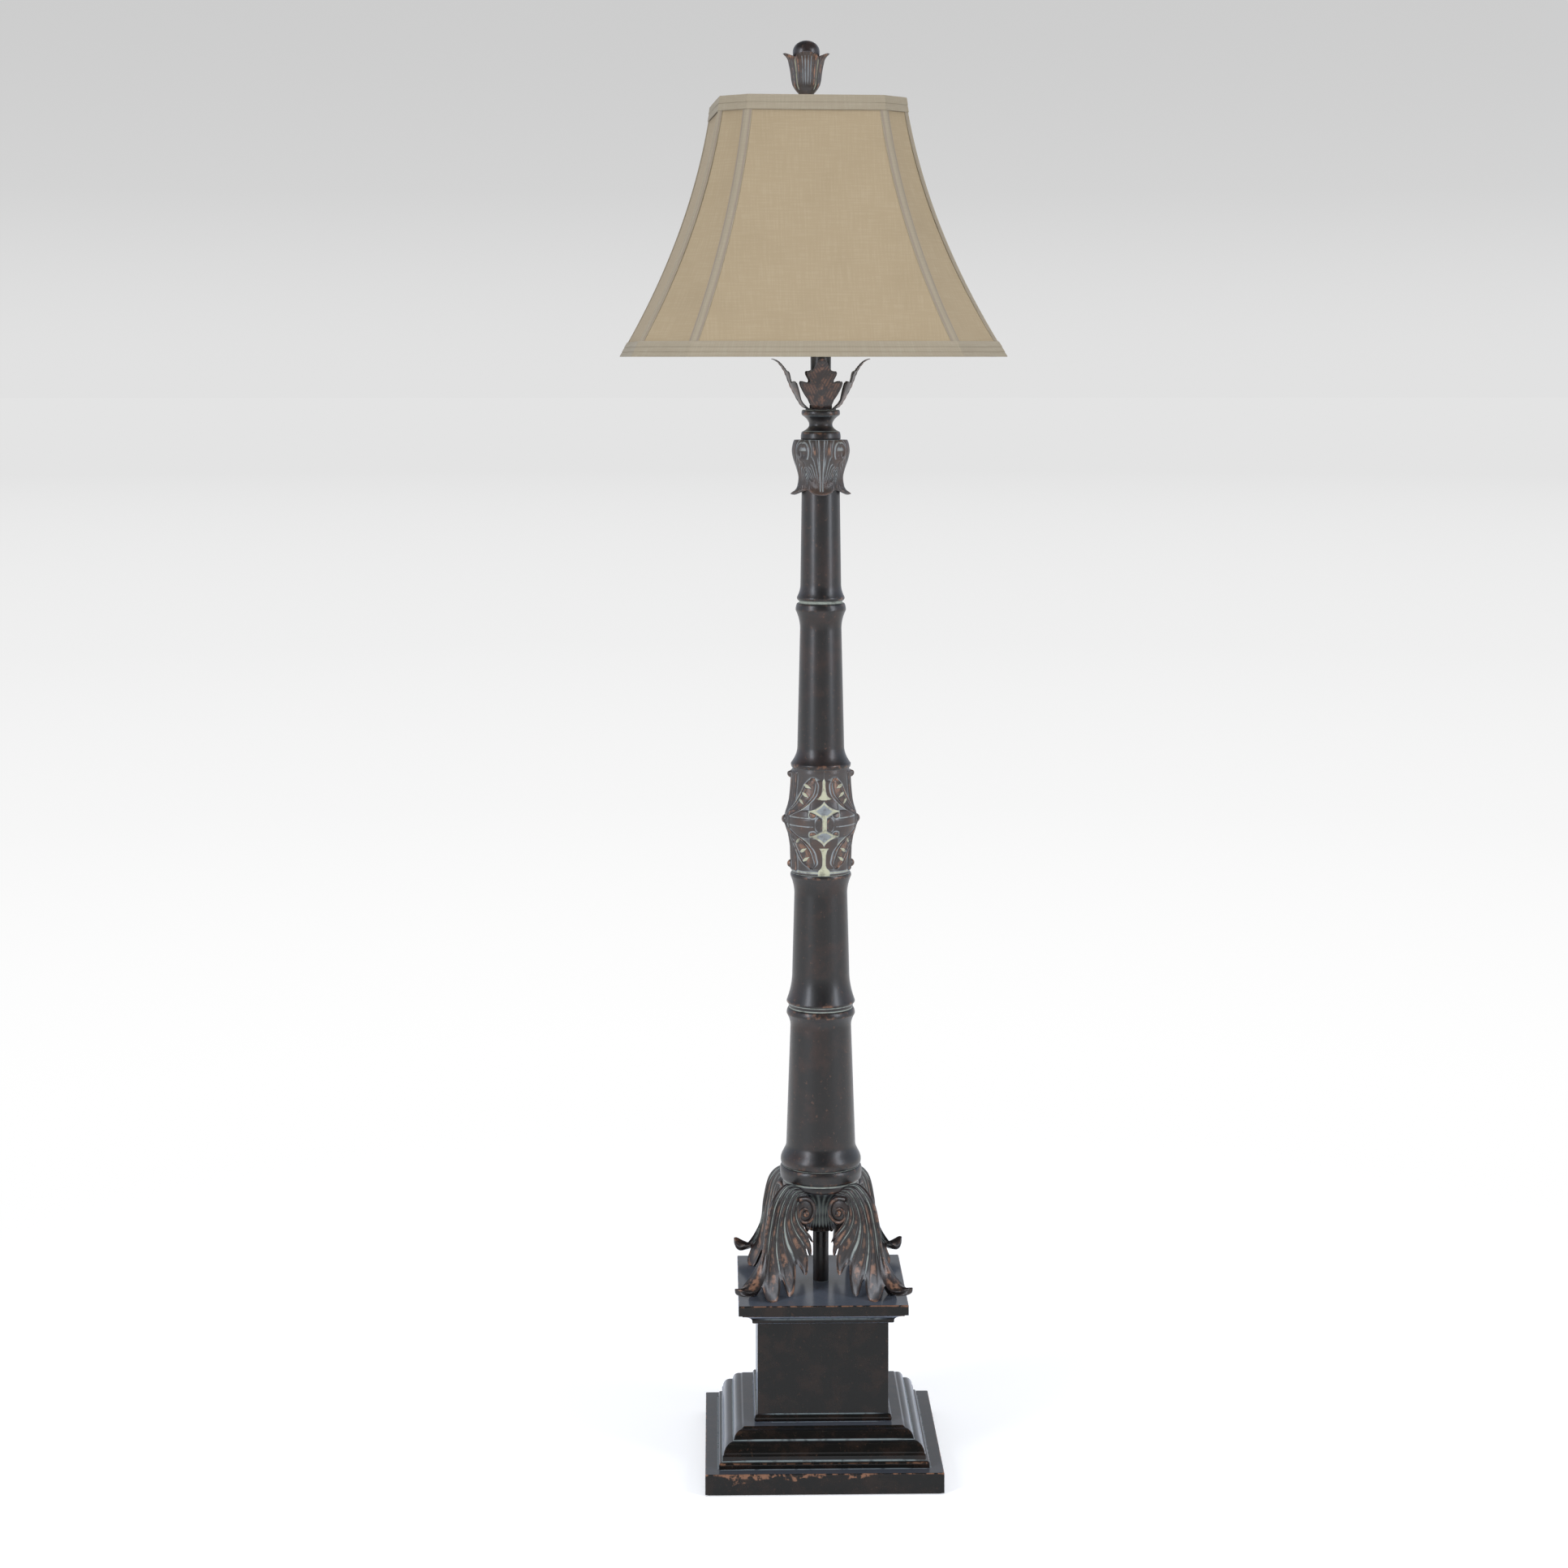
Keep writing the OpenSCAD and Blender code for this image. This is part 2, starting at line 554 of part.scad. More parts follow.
// Thin leaf: middle line as [out, up] from the root, and half widths along it
rosette_line = [[15, 0.9], [21, 3.5], [25.5, 9.5], [30.5, 18.5], [35, 27], [38.5, 36], [42, 44.5], [46, 51], [51, 56.5], [57, 59.5]];
rosette_half = [4, 7, 11, 20, 16, 25, 12.5, 17.5, 6, 3.6, 3.2, 1];
rosette_t = 1.3;
module rosette_leaf() {
    rows = 16;
    grid = [for (i = [0 : rows]) [for (j = [-2 : 2])
        let (u = i / rows, v = j / 2, line = along(rosette_line, u), half = along([for (h = rosette_half) [h, 0]], u)[0])
        [line[0] - 0.0035 * half * half * v * v, half * v, line[1] * rosette_h / 59.5 + 2.2 * v * v * sin(180 * u)]]];
    shell([for (row = grid) [for (p = row) p - [rosette_t, 0, -rosette_t / 3]]], grid);
}

module leaf_rosette() color(bronze_light) translate([0, 0, z_neck]) {
    difference() {
        cylinder(r = 18, h = 1.6);
        translate([0, 0, -1]) cylinder(r = rod_hole_r, h = 5);
    }
    for (k = [0 : 3]) rotate([0, 0, 90 * k]) rosette_leaf();
}

module neck_tube() color(bronze) translate([0, 0, z_neck + 1.6]) difference() {
    union() {
        cylinder(d = neck_d, h = neck_h - 1.6);
        cylinder(r = 13.2, h = 5);
    }
    translate([0, 0, -1]) cylinder(d = neck_d - 2.4, h = neck_h);
}

module tube_rod(z0, z1) color(steel) translate([0, 0, z0]) difference() {
    cylinder(r = rod_r, h = z1 - z0);
    translate([0, 0, -1]) cylinder(r = rod_bore_r, h = z1 - z0 + 2);
}
z_joint = z_knop + knop_h / 2;
module lower_rod() tube_rod(z_nut, z_joint);
module upper_rod() tube_rod(z_joint, z_socket + 5);
module rod_coupling() color(steel) translate([0, 0, z_joint - 12]) difference() {
    cylinder(r = 7.5, h = 24);
    translate([0, 0, -1]) cylinder(r = rod_r, h = 26);
}

// ---------- harp and lamp holder ----------

module harp_saddle() color(brass) translate([0, 0, z_neck_top]) difference() {
    union() {
        translate([-saddle_r - 5, -saddle_w / 2, 0]) cube([2 * saddle_r + 10, saddle_w, saddle_t]);
        for (x = [-saddle_r, saddle_r]) translate([x, 0, saddle_t]) {
            cylinder(r = post_r, h = post_h - saddle_t);
            cylinder(r = sleeve_r, h = post_h - saddle_t - sleeve_h / 2 - 0.05);
        }
    }
    translate([0, 0, -1]) cylinder(r = rod_hole_r, h = saddle_t + 2);
}

module neck_nut() color(brass) translate([0, 0, z_neck_top + saddle_t]) difference() {
    cylinder(r = 9, h = neck_nut_h, $fn = 6);
    translate([0, 0, -1]) cylinder(r = rod_r, h = neck_nut_h + 2);
}

// Share of the height over which the harp's ends stay straight, so that its sleeves slide freely
harp_straight = 0.078;
// Right half of the harp's bow, as [out, share of its height]
harp_bow = [[0, 0], [0, harp_straight], [0, 0.1], [0.1, 0.14], [0.4, 0.235], [0.84, 0.38], [1, 0.54], [0.87, 0.72], [0.5, 0.88]];
harp_reach = 34;
harp_top = 19;
harp_lean_power = 1.5;
wire_sunk = 0.8;
module harp() color(brass) {
    z_top_wire = seat_z - disc_h - wire_r + wire_sunk;
    rise = z_top_wire - z_post_top;
    half = [for (p = harp_bow) [saddle_r + harp_reach * p[0], p[1]]];
    top = [[harp_top, 0.972], [0, 1]];
    arc = concat(half, top, [[-harp_top, 0.972]], [for (i = [len(half) - 1 : -1 : 0]) [-half[i][0], half[i][1]]]);
    steps = 64;
    wire([for (k = [0 : steps])
        let (p = along(arc, k / steps), s = min(max(p[1], 0), 1), bent = max(s - harp_straight, 0) / (1 - harp_straight))
        [p[0] - harp_lean * pow(bent, harp_lean_power), 0, z_post_top + rise * s]], wire_r);
}

module harp_stud() color(brass) translate([harp_x, 0, seat_z - disc_h]) {
    cylinder(r = disc_r, h = disc_h);
    cylinder(r = stud_r, h = disc_h + stud_h);
}

module harp_sleeve(side) color(brass) translate([side * saddle_r, 0, z_post_top - sleeve_h / 2]) difference() {
    cylinder(r = sleeve_r, h = sleeve_h);
    translate([0, 0, -1]) cylinder(r = sleeve_bore_r, h = sleeve_h + 2);
}

module socket_cap() color(brass) translate([0, 0, z_socket]) difference() {
    rotate_extrude() polygon(turning([11, 0], [["round_out", socket_r, 14], ["line", socket_r, 18], ["line", 0, 18], ["line", 0, 0]]));
    translate([0, 0, 1.5]) cylinder(r = 10, h = 20);
    translate([0, 0, -1]) cylinder(r = rod_r, h = 5);
}

module socket_shell() color(brass) translate([0, 0, z_shell]) difference() {
    cylinder(r = socket_r, h = z_shell_top - z_shell);
    translate([0, 0, -1]) cylinder(r = socket_r - socket_wall, h = 60);
    translate([0, 0, key_z - z_shell]) rotate([90, 0, 0]) cylinder(r = key_hole_r, h = 40);
}

module socket_core() color(iron) difference() {
    translate([0, 0, z_shell]) cylinder(r = core_r, h = z_shell_top - z_shell - 2);
    translate([0, 0, z_bulb_base]) cylinder(r = core_bore_r, h = 60);
    translate([0, -6, key_z]) rotate([90, 0, 0]) cylinder(r = key_hole_r, h = 40);
}

module switch_key() color(iron) translate([0, 0, key_z]) rotate([90, 0, 0]) {
    translate([0, 0, 7]) cylinder(r = key_shaft_r, h = 22);
    translate([0, 0, 27]) intersection() {
        cylinder(r = 6.5, h = 9);
        translate([-6.5, -2.2, 0]) cube([13, 4.4, 9]);
    }
}

module bulb_base() color(steel) translate([0, 0, z_bulb_base + 1]) {
    cylinder(r = bulb_base_r, h = z_shell_top - z_bulb_base + 1);
}

module bulb_glass() color("white") translate([0, 0, z_shell_top + 2]) {
    r = bulb_d / 2;
    rotate_extrude() polygon(turning([0, 0], [["line", bulb_base_r, 0], ["line", bulb_base_r, 4],
        ["ease", r, bulb_h - r], ["round_in", 0, bulb_h]]));
}

// ---------- shade ----------

// Half width across the flats, at share t of the way from the top to the foot
function shade_half(t) = shade_top_half + (shade_foot_half - shade_top_half) * (shade_slope * t + (1 - shade_slope) * t * t);
function shade_z(t) = z_shade_top - shade_h * t;
// The eight corners of the shade's plan, anticlockwise from the front's left end
function plan(half) = let (a = half, b = shade_corner * half)
    [[-b, -a], [b, -a], [a, -b], [a, b], [b, a], [-b, a], [-a, b], [-a, -b]];
function corner(k, half, z) = let (p = plan(half)[k % 8]) [p[0], p[1], z];

module on_stud() translate([harp_x, 0, 0]) rotate([0, 0, shade_turn]) children();

module shade_panel(k, tint = cloth) color(tint) on_stud()
    loft([for (i = [0 : panel_rows])
        let (t = i / panel_rows, h = shade_half(t), z = shade_z(t))
        [corner(k, h, z), corner(k, h - panel_t, z), corner(k + 1, h - panel_t, z), corner(k + 1, h, z)]]);

// Ribbon folded over one seam
module ribbon(k) {
    function flap(from, to, half, z) =
        let (a = corner(from, half, z), b = corner(to, half, z)) a + (b - a) / norm(b - a) * ribbon_w / 2;
    loft([for (i = [0 : panel_rows])
        let (t = i / panel_rows, h = shade_half(t) + 0.05, z = shade_z(t))
        [corner(k, h + ribbon_t, z), flap(k, k + 1, h + ribbon_t, z), flap(k, k + 1, h, z),
            corner(k, h, z), flap(k, k + 7, h, z), flap(k, k + 7, h + ribbon_t, z)]]);
}

module seam_ribbons() color(cloth_trim) on_stud() for (k = [0 : 7]) ribbon(k);

// Band round the shade between two heights, lying on the ribbons
module binding(t0, t1) {
    steps = 3;
    inner = ribbon_t + 0.25;
    loft([for (k = [7 : -1 : 0]) concat(
        [for (i = [0 : steps]) let (t = t0 + (t1 - t0) * i / steps) corner(k, shade_half(t) + inner, shade_z(t))],
        [for (i = [steps : -1 : 0])
            let (t = t0 + (t1 - t0) * i / steps) corner(k, shade_half(t) + inner + binding_t, shade_z(t))])],
        closed = true);
}
module top_binding() color(cloth_trim) on_stud() binding(0, binding_h / shade_h);
module bottom_binding() color(cloth_trim) on_stud() binding(1 - binding_h / shade_h, 1);

module shade_lining() color("white") on_stud()
    loft([for (k = [7 : -1 : 0]) concat(
        [for (i = [0 : 8]) let (t = 0.03 + 0.955 * i / 8) corner(k, shade_half(t) - lining_gap - lining_t, shade_z(t))],
        [for (i = [8 : -1 : 0]) let (t = 0.03 + 0.955 * i / 8) corner(k, shade_half(t) - lining_gap, shade_z(t))])],
        closed = true);

// Wire ring that follows the shade's plan
module wire_ring(half, z) {
    loft([for (k = [0 : 7])
        [for (s = [0 : 5])
            let (o = frame_wire_r * cos(60 * s), p = corner(k, half + o, z)) p + [0, 0, frame_wire_r * sin(60 * s)]]],
        closed = true);
}

wire_inset = panel_t + frame_wire_r + 0.4;
z_arms = seat_z + hub_ring_h / 2 + 0.1;
top_ring_half = shade_half((z_shade_top - z_arms) / shade_h) - wire_inset;
module shade_spider() color(steel) on_stud() {
    arm = (top_ring_half - frame_wire_r + 0.1) * (1 + shade_corner) / sqrt(2);
    difference() {
        translate([0, 0, seat_z + 0.1]) cylinder(r = hub_ring_r, h = hub_ring_h);
        translate([0, 0, seat_z - 1]) cylinder(r = stud_r + 0.4, h = hub_ring_h + 2);
    }
    for (k = [0 : 3]) rotate([0, 0, 45 + 90 * k]) translate([hub_ring_r - 2, 0, z_arms]) rotate([0, 90, 0])
        cylinder(r = frame_wire_r * 0.7, h = arm - hub_ring_r + 2);
}

module shade_frame() color(steel) on_stud() {
    t_foot = 1 - 3 / shade_h;
    wire_ring(top_ring_half, z_arms);
    wire_ring(shade_half(t_foot) - wire_inset, shade_z(t_foot));
    for (k = [0 : 7]) {
        a = atan2(plan(1)[k][1], plan(1)[k][0]);
        reach = norm(plan(1)[k]);
        rotate([0, 0, a]) wire([for (i = [0 : panel_rows])
            let (t = 0.015 + (t_foot - 0.015) * i / panel_rows) [(shade_half(t) - wire_inset) * reach, 0, shade_z(t)]],
            frame_wire_r * 0.8, 6);
    }
}

// ---------- finial ----------

// Outline of the cup along a petal and between two petals, as [height, petal radius, gap radius]
cup_rise = [[0, 8, 8], [12, 8.4, 8.4], [17, 11.8, 11.6], [20, 14, 13.6], [24, 16, 15.4], [30, 17.1, 16.4],
    [40, 18.4, 17.6], [48, 20, 18.8], [55, 22, 19.5], [petal_h - 1, petal_r, 19.4]];
cup_steps = 32;
cup_wall = 2;
cup_lip_from = 45;
// Dip of the rim between the petals
function cup_dip(z, petal) = max(0, z - cup_lip_from) / 3 * (1 - petal);
module finial_cup() color(bronze_light) translate([harp_x, 0, seat_z + hub_ring_h + 0.2]) {
    bore = insert_r + 0.06;
    loft([for (k = [0 : cup_steps - 1])
        let (a = -360 * k / cup_steps, petal = pow(abs(cos(2 * a)), 1.2))
        concat([for (p = cup_rise) let (r = p[2] + (p[1] - p[2]) * petal) [r * cos(a), r * sin(a), p[0] - cup_dip(p[0], petal)]],
            [for (i = [len(cup_rise) - 1 : -1 : 6])
                let (p = cup_rise[i], r = p[2] + (p[1] - p[2]) * petal - cup_wall)
                [r * cos(a), r * sin(a), p[0] - cup_dip(p[0], petal) + (i == len(cup_rise) - 1 ? 0.8 : 0)]],
            [for (p = [[bore, cup_floor - 1], [bore, 0]]) [p[0] * cos(a), p[0] * sin(a), p[1]]])],
        closed = true);
}

module finial_bud() color(bronze) translate([harp_x, 0, seat_z + hub_ring_h + 0.2 + cup_floor]) {
    r = bud_d / 2;
    h = finial_h - cup_floor - hub_ring_h - 0.2;
    rotate_extrude() polygon(turning([0, 0], [["line", 13, 0], ["ease", r, h - r * 0.85], ["round_in", 0, h]]));
}

module finial_insert() color(brass) translate([harp_x, 0, seat_z + hub_ring_h + 0.2]) difference() {
    cylinder(r = insert_r, h = 12);
    translate([0, 0, -1]) cylinder(r = insert_bore_r, h = 14);
}

// ---------- assembly ----------

floor_felt();
base_plate();
ballast_weight();
cord_bush();
bottom_nut();
bottom_washer();
base_moulding();
plinth_bead();
plinth_box();
cap_moulding();
plinth_cap();
centre_pipe();
scroll_hub();
scroll_leg(180);  // scroll_leg_front_left
scroll_leg(270);  // scroll_leg_front_right
scroll_leg(0);  // scroll_leg_back_right
scroll_leg(90);  // scroll_leg_back_left
ring_turning();
column_lower();
column_middle();
carved_knop();
column_upper();
column_top();
capital();
neck_spool();
leaf_rosette();
neck_tube();
lower_rod();
upper_rod();
rod_coupling();
harp_saddle();
neck_nut();
harp();
harp_stud();
harp_sleeve(-1);  // harp_sleeve_left
harp_sleeve(1);  // harp_sleeve_right
socket_cap();
socket_shell();
socket_core();
switch_key();
bulb_base();
bulb_glass();
shade_spider();
shade_frame();
shade_lining();
shade_panel(0);  // shade_panel_front
shade_panel(1);  // shade_corner_front_right
shade_panel(2);  // shade_panel_right
shade_panel(3);  // shade_corner_back_right
shade_panel(4);  // shade_panel_back
shade_panel(5);  // shade_corner_back_left
shade_panel(6);  // shade_panel_left
shade_panel(7);  // shade_corner_front_left
seam_ribbons();
top_binding();
bottom_binding();
finial_cup();
finial_bud();
finial_insert();
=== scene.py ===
"""Candlestick floor lamp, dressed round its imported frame.

A stepped square plinth carries four acanthus scroll legs, a turned and carved bronze column and a neck with
four sheet-metal leaves. A cut-corner bell shade of tan linen hangs on a harp under a tulip finial. Sizes are in
millimetres until a mesh is made. The front is -Y, and +Z is up.
"""

from __future__ import annotations

import logging
import math
from dataclasses import dataclass
from enum import Enum
from functools import partial
from typing import Callable, Sequence

import bpy
import numpy as np
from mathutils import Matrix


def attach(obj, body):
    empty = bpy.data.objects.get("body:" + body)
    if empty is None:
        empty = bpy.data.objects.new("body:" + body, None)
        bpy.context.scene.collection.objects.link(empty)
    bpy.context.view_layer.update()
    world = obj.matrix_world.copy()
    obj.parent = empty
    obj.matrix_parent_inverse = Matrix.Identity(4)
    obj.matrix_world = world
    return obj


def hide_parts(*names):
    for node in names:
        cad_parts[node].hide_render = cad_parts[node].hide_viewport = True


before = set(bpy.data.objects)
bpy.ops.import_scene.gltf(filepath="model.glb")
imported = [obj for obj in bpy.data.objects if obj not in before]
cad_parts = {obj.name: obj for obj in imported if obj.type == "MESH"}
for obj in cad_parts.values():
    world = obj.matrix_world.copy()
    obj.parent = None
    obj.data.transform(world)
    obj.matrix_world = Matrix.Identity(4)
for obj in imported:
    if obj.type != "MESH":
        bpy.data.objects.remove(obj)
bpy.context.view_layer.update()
LOG = logging.getLogger("lamp")
MM = 0.001
# Settings of nodes that recur. A MapRange takes its value at 0, its range at 1 and 2 and the new range at 3 and 4;
# a Mix of colours takes its share at 0 and its ends at 6 and 7, and gives the colour at 2.
SMOOTH = {"interpolation_type": "SMOOTHSTEP"}
COLOURS = {"data_type": "RGBA"}


# ---------- colours, nodes and objects ----------


def linear(code: str) -> tuple[float, float, float, float]:
    """Turn an sRGB hex code into linear red, green and blue, with an alpha of 1."""
    channels = [int(code[i : i + 2], 16) / 255 for i in (1, 3, 5)]
    light = [c / 12.92 if c <= 0.04045 else ((c + 0.055) / 1.055) ** 2.4 for c in channels]
    return light[0], light[1], light[2], 1.0


def add_node(
    tree: bpy.types.NodeTree, kind: str, inputs: dict[str | int, object] | None = None, **settings: object
) -> bpy.types.Node:
    """Add a node with its settings, values and links.

    Args:
        tree: The node tree that it goes into.
        kind: The node's type name, without its ShaderNode prefix.
        inputs: For each named or numbered input a value, an output socket, or a node whose first output it takes.
        settings: Properties of the node itself.

    Returns:
        The new node.
    """
    node = tree.nodes.new("ShaderNode" + kind)
    for name, value in settings.items():
        setattr(node, name, value)
    for key, value in (inputs or {}).items():
        if isinstance(value, bpy.types.Node):
            tree.links.new(value.outputs[0], node.inputs[key])
        elif isinstance(value, bpy.types.NodeSocket):
            tree.links.new(value, node.inputs[key])
        else:
            node.inputs[key].default_value = value
    return node


def node_adder(owner: bpy.types.Material | bpy.types.World) -> Callable[..., bpy.types.Node]:
    """Empty the node tree of a material or a world, and give add_node for that tree."""
    owner.use_nodes = True
    owner.node_tree.nodes.clear()
    return partial(add_node, owner.node_tree)


def new_object(name: str, data: bpy.types.ID) -> bpy.types.Object:
    """Make an object and put it in the scene."""
    made = bpy.data.objects.new(name, data)
    bpy.context.scene.collection.objects.link(made)
    return made


# ---------- finishes ----------


@dataclass(frozen=True)
class AgedBronze:
    """Cast resin, sprayed dark bronze, rubbed to copper on its edges and washed pale in its hollows.

    The lacquer over the paint is satin, so the eye gets two soft bright streaks down each turning. The relief of
    each mesh, in mm, is stored on it and says where the cloth rubbed and where the wash stayed.
    """

    name: str
    base: str = "#171515"
    warm: str = "#2b1e1a"
    copper: str = "#8b634b"
    wash: str = "#a2a89c"
    haze: str = "#78838a"
    wash_from: float = 0.32
    wash_to: float = 0.6
    copper_from: float = 0.2
    copper_to: float = 0.8
    rub_from: float = 0.5
    rub_to: float = 0.66
    copper_share: float = 0.55
    wash_share: float = 0.8
    flecks: float = 0.22
    roughness: float = 0.33
    specular: float = 0.45
    coat: float = 0.25
    grain: float = 0.2
    bloom: float = 0.2

    def build(self) -> None:
        """Make the node material."""
        add = node_adder(bpy.data.materials.new(self.name))
        place = add("TexCoord").outputs["Object"]
        relief = add("Attribute", attribute_name="relief").outputs["Fac"]
        # Blotches of 26 mm, worn patches of 9 mm and specks of 5 mm.
        blotch, rub, speck = (
            add("TexNoise", {"Vector": place, "Scale": 1000 / size, "Detail": 5.0, "Roughness": 0.62})
            for size in (26, 9, 5))
        thin = add("MapRange", {0: blotch, 1: 0.44, 2: 0.68}, **SMOOTH)
        fleck = add("MapRange", {0: speck, 1: 0.6, 2: 0.72, 4: self.flecks}, **SMOOTH)
        raised = add("MapRange", {0: relief, 1: self.copper_from, 2: self.copper_to}, **SMOOTH)
        cloth = add("MapRange", {0: rub, 1: self.rub_from, 2: self.rub_to, 4: self.copper_share}, **SMOOTH)
        worn = add("Math", {0: raised, 1: cloth}, operation="MULTIPLY")
        sunk = add("MapRange", {0: relief, 1: -self.wash_from, 2: -self.wash_to}, **SMOOTH)
        held = add("MapRange", {0: rub, 1: 0.3, 2: 0.52, 3: 0.35 * self.wash_share, 4: self.wash_share}, **SMOOTH)
        washed = add("Math", {0: sunk, 1: held}, operation="MULTIPLY")
        # The wash dried blue-grey where it is thin and pale where it pooled.
        pool = add("MapRange", {0: relief, 1: -0.4, 2: -0.75}, **SMOOTH)
        film = add("Mix", {0: pool, 6: linear(self.haze), 7: linear(self.wash)}, **COLOURS).outputs[2]
        copper = linear(self.copper)
        colour = linear(self.base)
        for share, layer in ((thin, linear(self.warm)), (fleck, copper), (worn, copper), (washed, film)):
            colour = add("Mix", {0: share, 6: colour, 7: layer}, **COLOURS).outputs[2]
        matt = add("Math", {0: washed, 1: 0.3, 2: self.roughness}, operation="MULTIPLY_ADD")
        matt = add("Math", {0: speck, 1: 0.14, 2: matt}, operation="MULTIPLY_ADD")
        bump = add("Bump", {"Height": rub, "Strength": self.grain, "Distance": 0.0007})
        shader = add("BsdfPrincipled", {
            "Base Color": colour, "Roughness": matt, "Normal": bump, "Specular IOR Level": self.specular,
            "Coat Weight": self.coat, "Coat Roughness": 0.22, "Sheen Weight": self.bloom, "Sheen Roughness": 0.3,
            "Sheen Tint": linear("#d3e0f6")})
        add("OutputMaterial", {"Surface": shader})


@dataclass(frozen=True)
class Linen:
    """Plain-woven linen with thick and thin threads.

    Real threads are about 0.5 mm apart, too fine to show here, so they are drawn 1.1 mm apart. Slubs give the
    eye the short faint streaks that run both ways across each panel.
    """

    name: str
    colour: str
    slub: str
    # The darker colour: painted shade in the weave's gaps, and the tone of its stains.
    shade: str
    thread_mm: float = 1.1
    slub_mm: float = 20.0
    cloud_mm: float = 70.0
    stitch: str = "#85786a"

    def build(self) -> None:
        """Make the node material."""
        add = node_adder(bpy.data.materials.new(self.name))
        cloth = add("UVMap", uv_map="cloth").outputs[0]
        split = add("SeparateXYZ", {0: cloth})
        short = self.thread_mm / self.slub_mm
        threads, streaks = [], []
        for axis, stretch in enumerate(((short, 1.0, 1.0), (1.0, short, 1.0))):
            phase = add("Math", {0: split.outputs[axis], 1: math.pi / (self.thread_mm * MM)}, operation="MULTIPLY")
            threads.append(add("Math", {0: add("Math", {0: phase}, operation="SINE")}, operation="ABSOLUTE"))
            drawn = add("VectorMath", {0: cloth, 1: stretch}, operation="MULTIPLY")
            streaks.append(add("TexNoise", {"Vector": drawn, "Scale": 600 / self.thread_mm, "Detail": 2.0}))
        over = add("TexChecker", {
            "Vector": cloth, "Scale": 1 / (self.thread_mm * MM), 1: (1, 1, 1, 1), 2: (0, 0, 0, 1)}).outputs[1]
        weave = add("Mix", {0: over, 2: threads[0], 3: threads[1]})
        uneven = add("Math", {0: streaks[0], 1: streaks[1]}, operation="ADD")
        cloud = add("TexNoise", {"Vector": cloth, "Scale": 1000 / self.cloud_mm, "Detail": 2.0})
        thick = add("MapRange", {0: uneven, 1: 0.9, 2: 1.3, 4: 0.55}, **SMOOTH)
        # The gaps between threads take the shade colour: painted shade in the weave.
        gap = add("MapRange", {0: weave, 1: 0.7, 2: 0.1, 4: 0.2}, **SMOOTH)
        stain = add("MapRange", {0: cloud, 1: 0.45, 2: 0.75, 4: 0.14}, **SMOOTH)
        sewn = add("Attribute", attribute_name="stitch").outputs["Fac"]
        colour = linear(self.colour)
        for share, layer in ((thick, self.slub), (gap, self.shade), (stain, self.shade), (sewn, self.stitch)):
            colour = add("Mix", {0: share, 6: colour, 7: linear(layer)}, **COLOURS).outputs[2]
        height = add("Math", {0: uneven, 1: 0.7, 2: weave}, operation="MULTIPLY_ADD")
        bump = add("Bump", {"Height": height, "Strength": 0.16, "Distance": 0.0003})
        shader = add("BsdfPrincipled", {
            "Base Color": colour, "Normal": bump, "Roughness": 0.9, "Sheen Weight": 0.12, "Sheen Roughness": 0.5,
            "Specular IOR Level": 0.15})
        add("OutputMaterial", {"Surface": shader})


@dataclass(frozen=True)
class PlainFinish:
    """A finish of one substance: two close colours, a roughness and a grain with a real size."""

    name: str
    colour: str
    second: str
    grain_mm: float
    roughness: float
    metallic: float = 0.0
    bump: float = 0.1
    stretch: tuple[float, float, float] = (1.0, 1.0, 1.0)

    def build(self) -> None:
        """Make the node material."""
        add = node_adder(bpy.data.materials.new(self.name))
        place = add("TexCoord").outputs["Object"]
        drawn = add("VectorMath", {0: place, 1: self.stretch}, operation="MULTIPLY")
        grain = add("TexNoise", {"Vector": drawn, "Scale": 1000 / self.grain_mm, "Detail": 4.0})
        share = add("MapRange", {0: grain, 1: 0.35, 2: 0.7}, **SMOOTH)
        colour = add("Mix", {0: share, 6: linear(self.colour), 7: linear(self.second)}, **COLOURS)
        matt = add("Math", {0: grain, 1: 0.15, 2: self.roughness}, operation="MULTIPLY_ADD")
        bump = add("Bump", {"Height": grain, "Strength": self.bump, "Distance": 0.0003})
        shader = add("BsdfPrincipled", {
            "Base Color": colour.outputs[2], "Roughness": matt, "Normal": bump, "Metallic": self.metallic})
        add("OutputMaterial", {"Surface": shader})


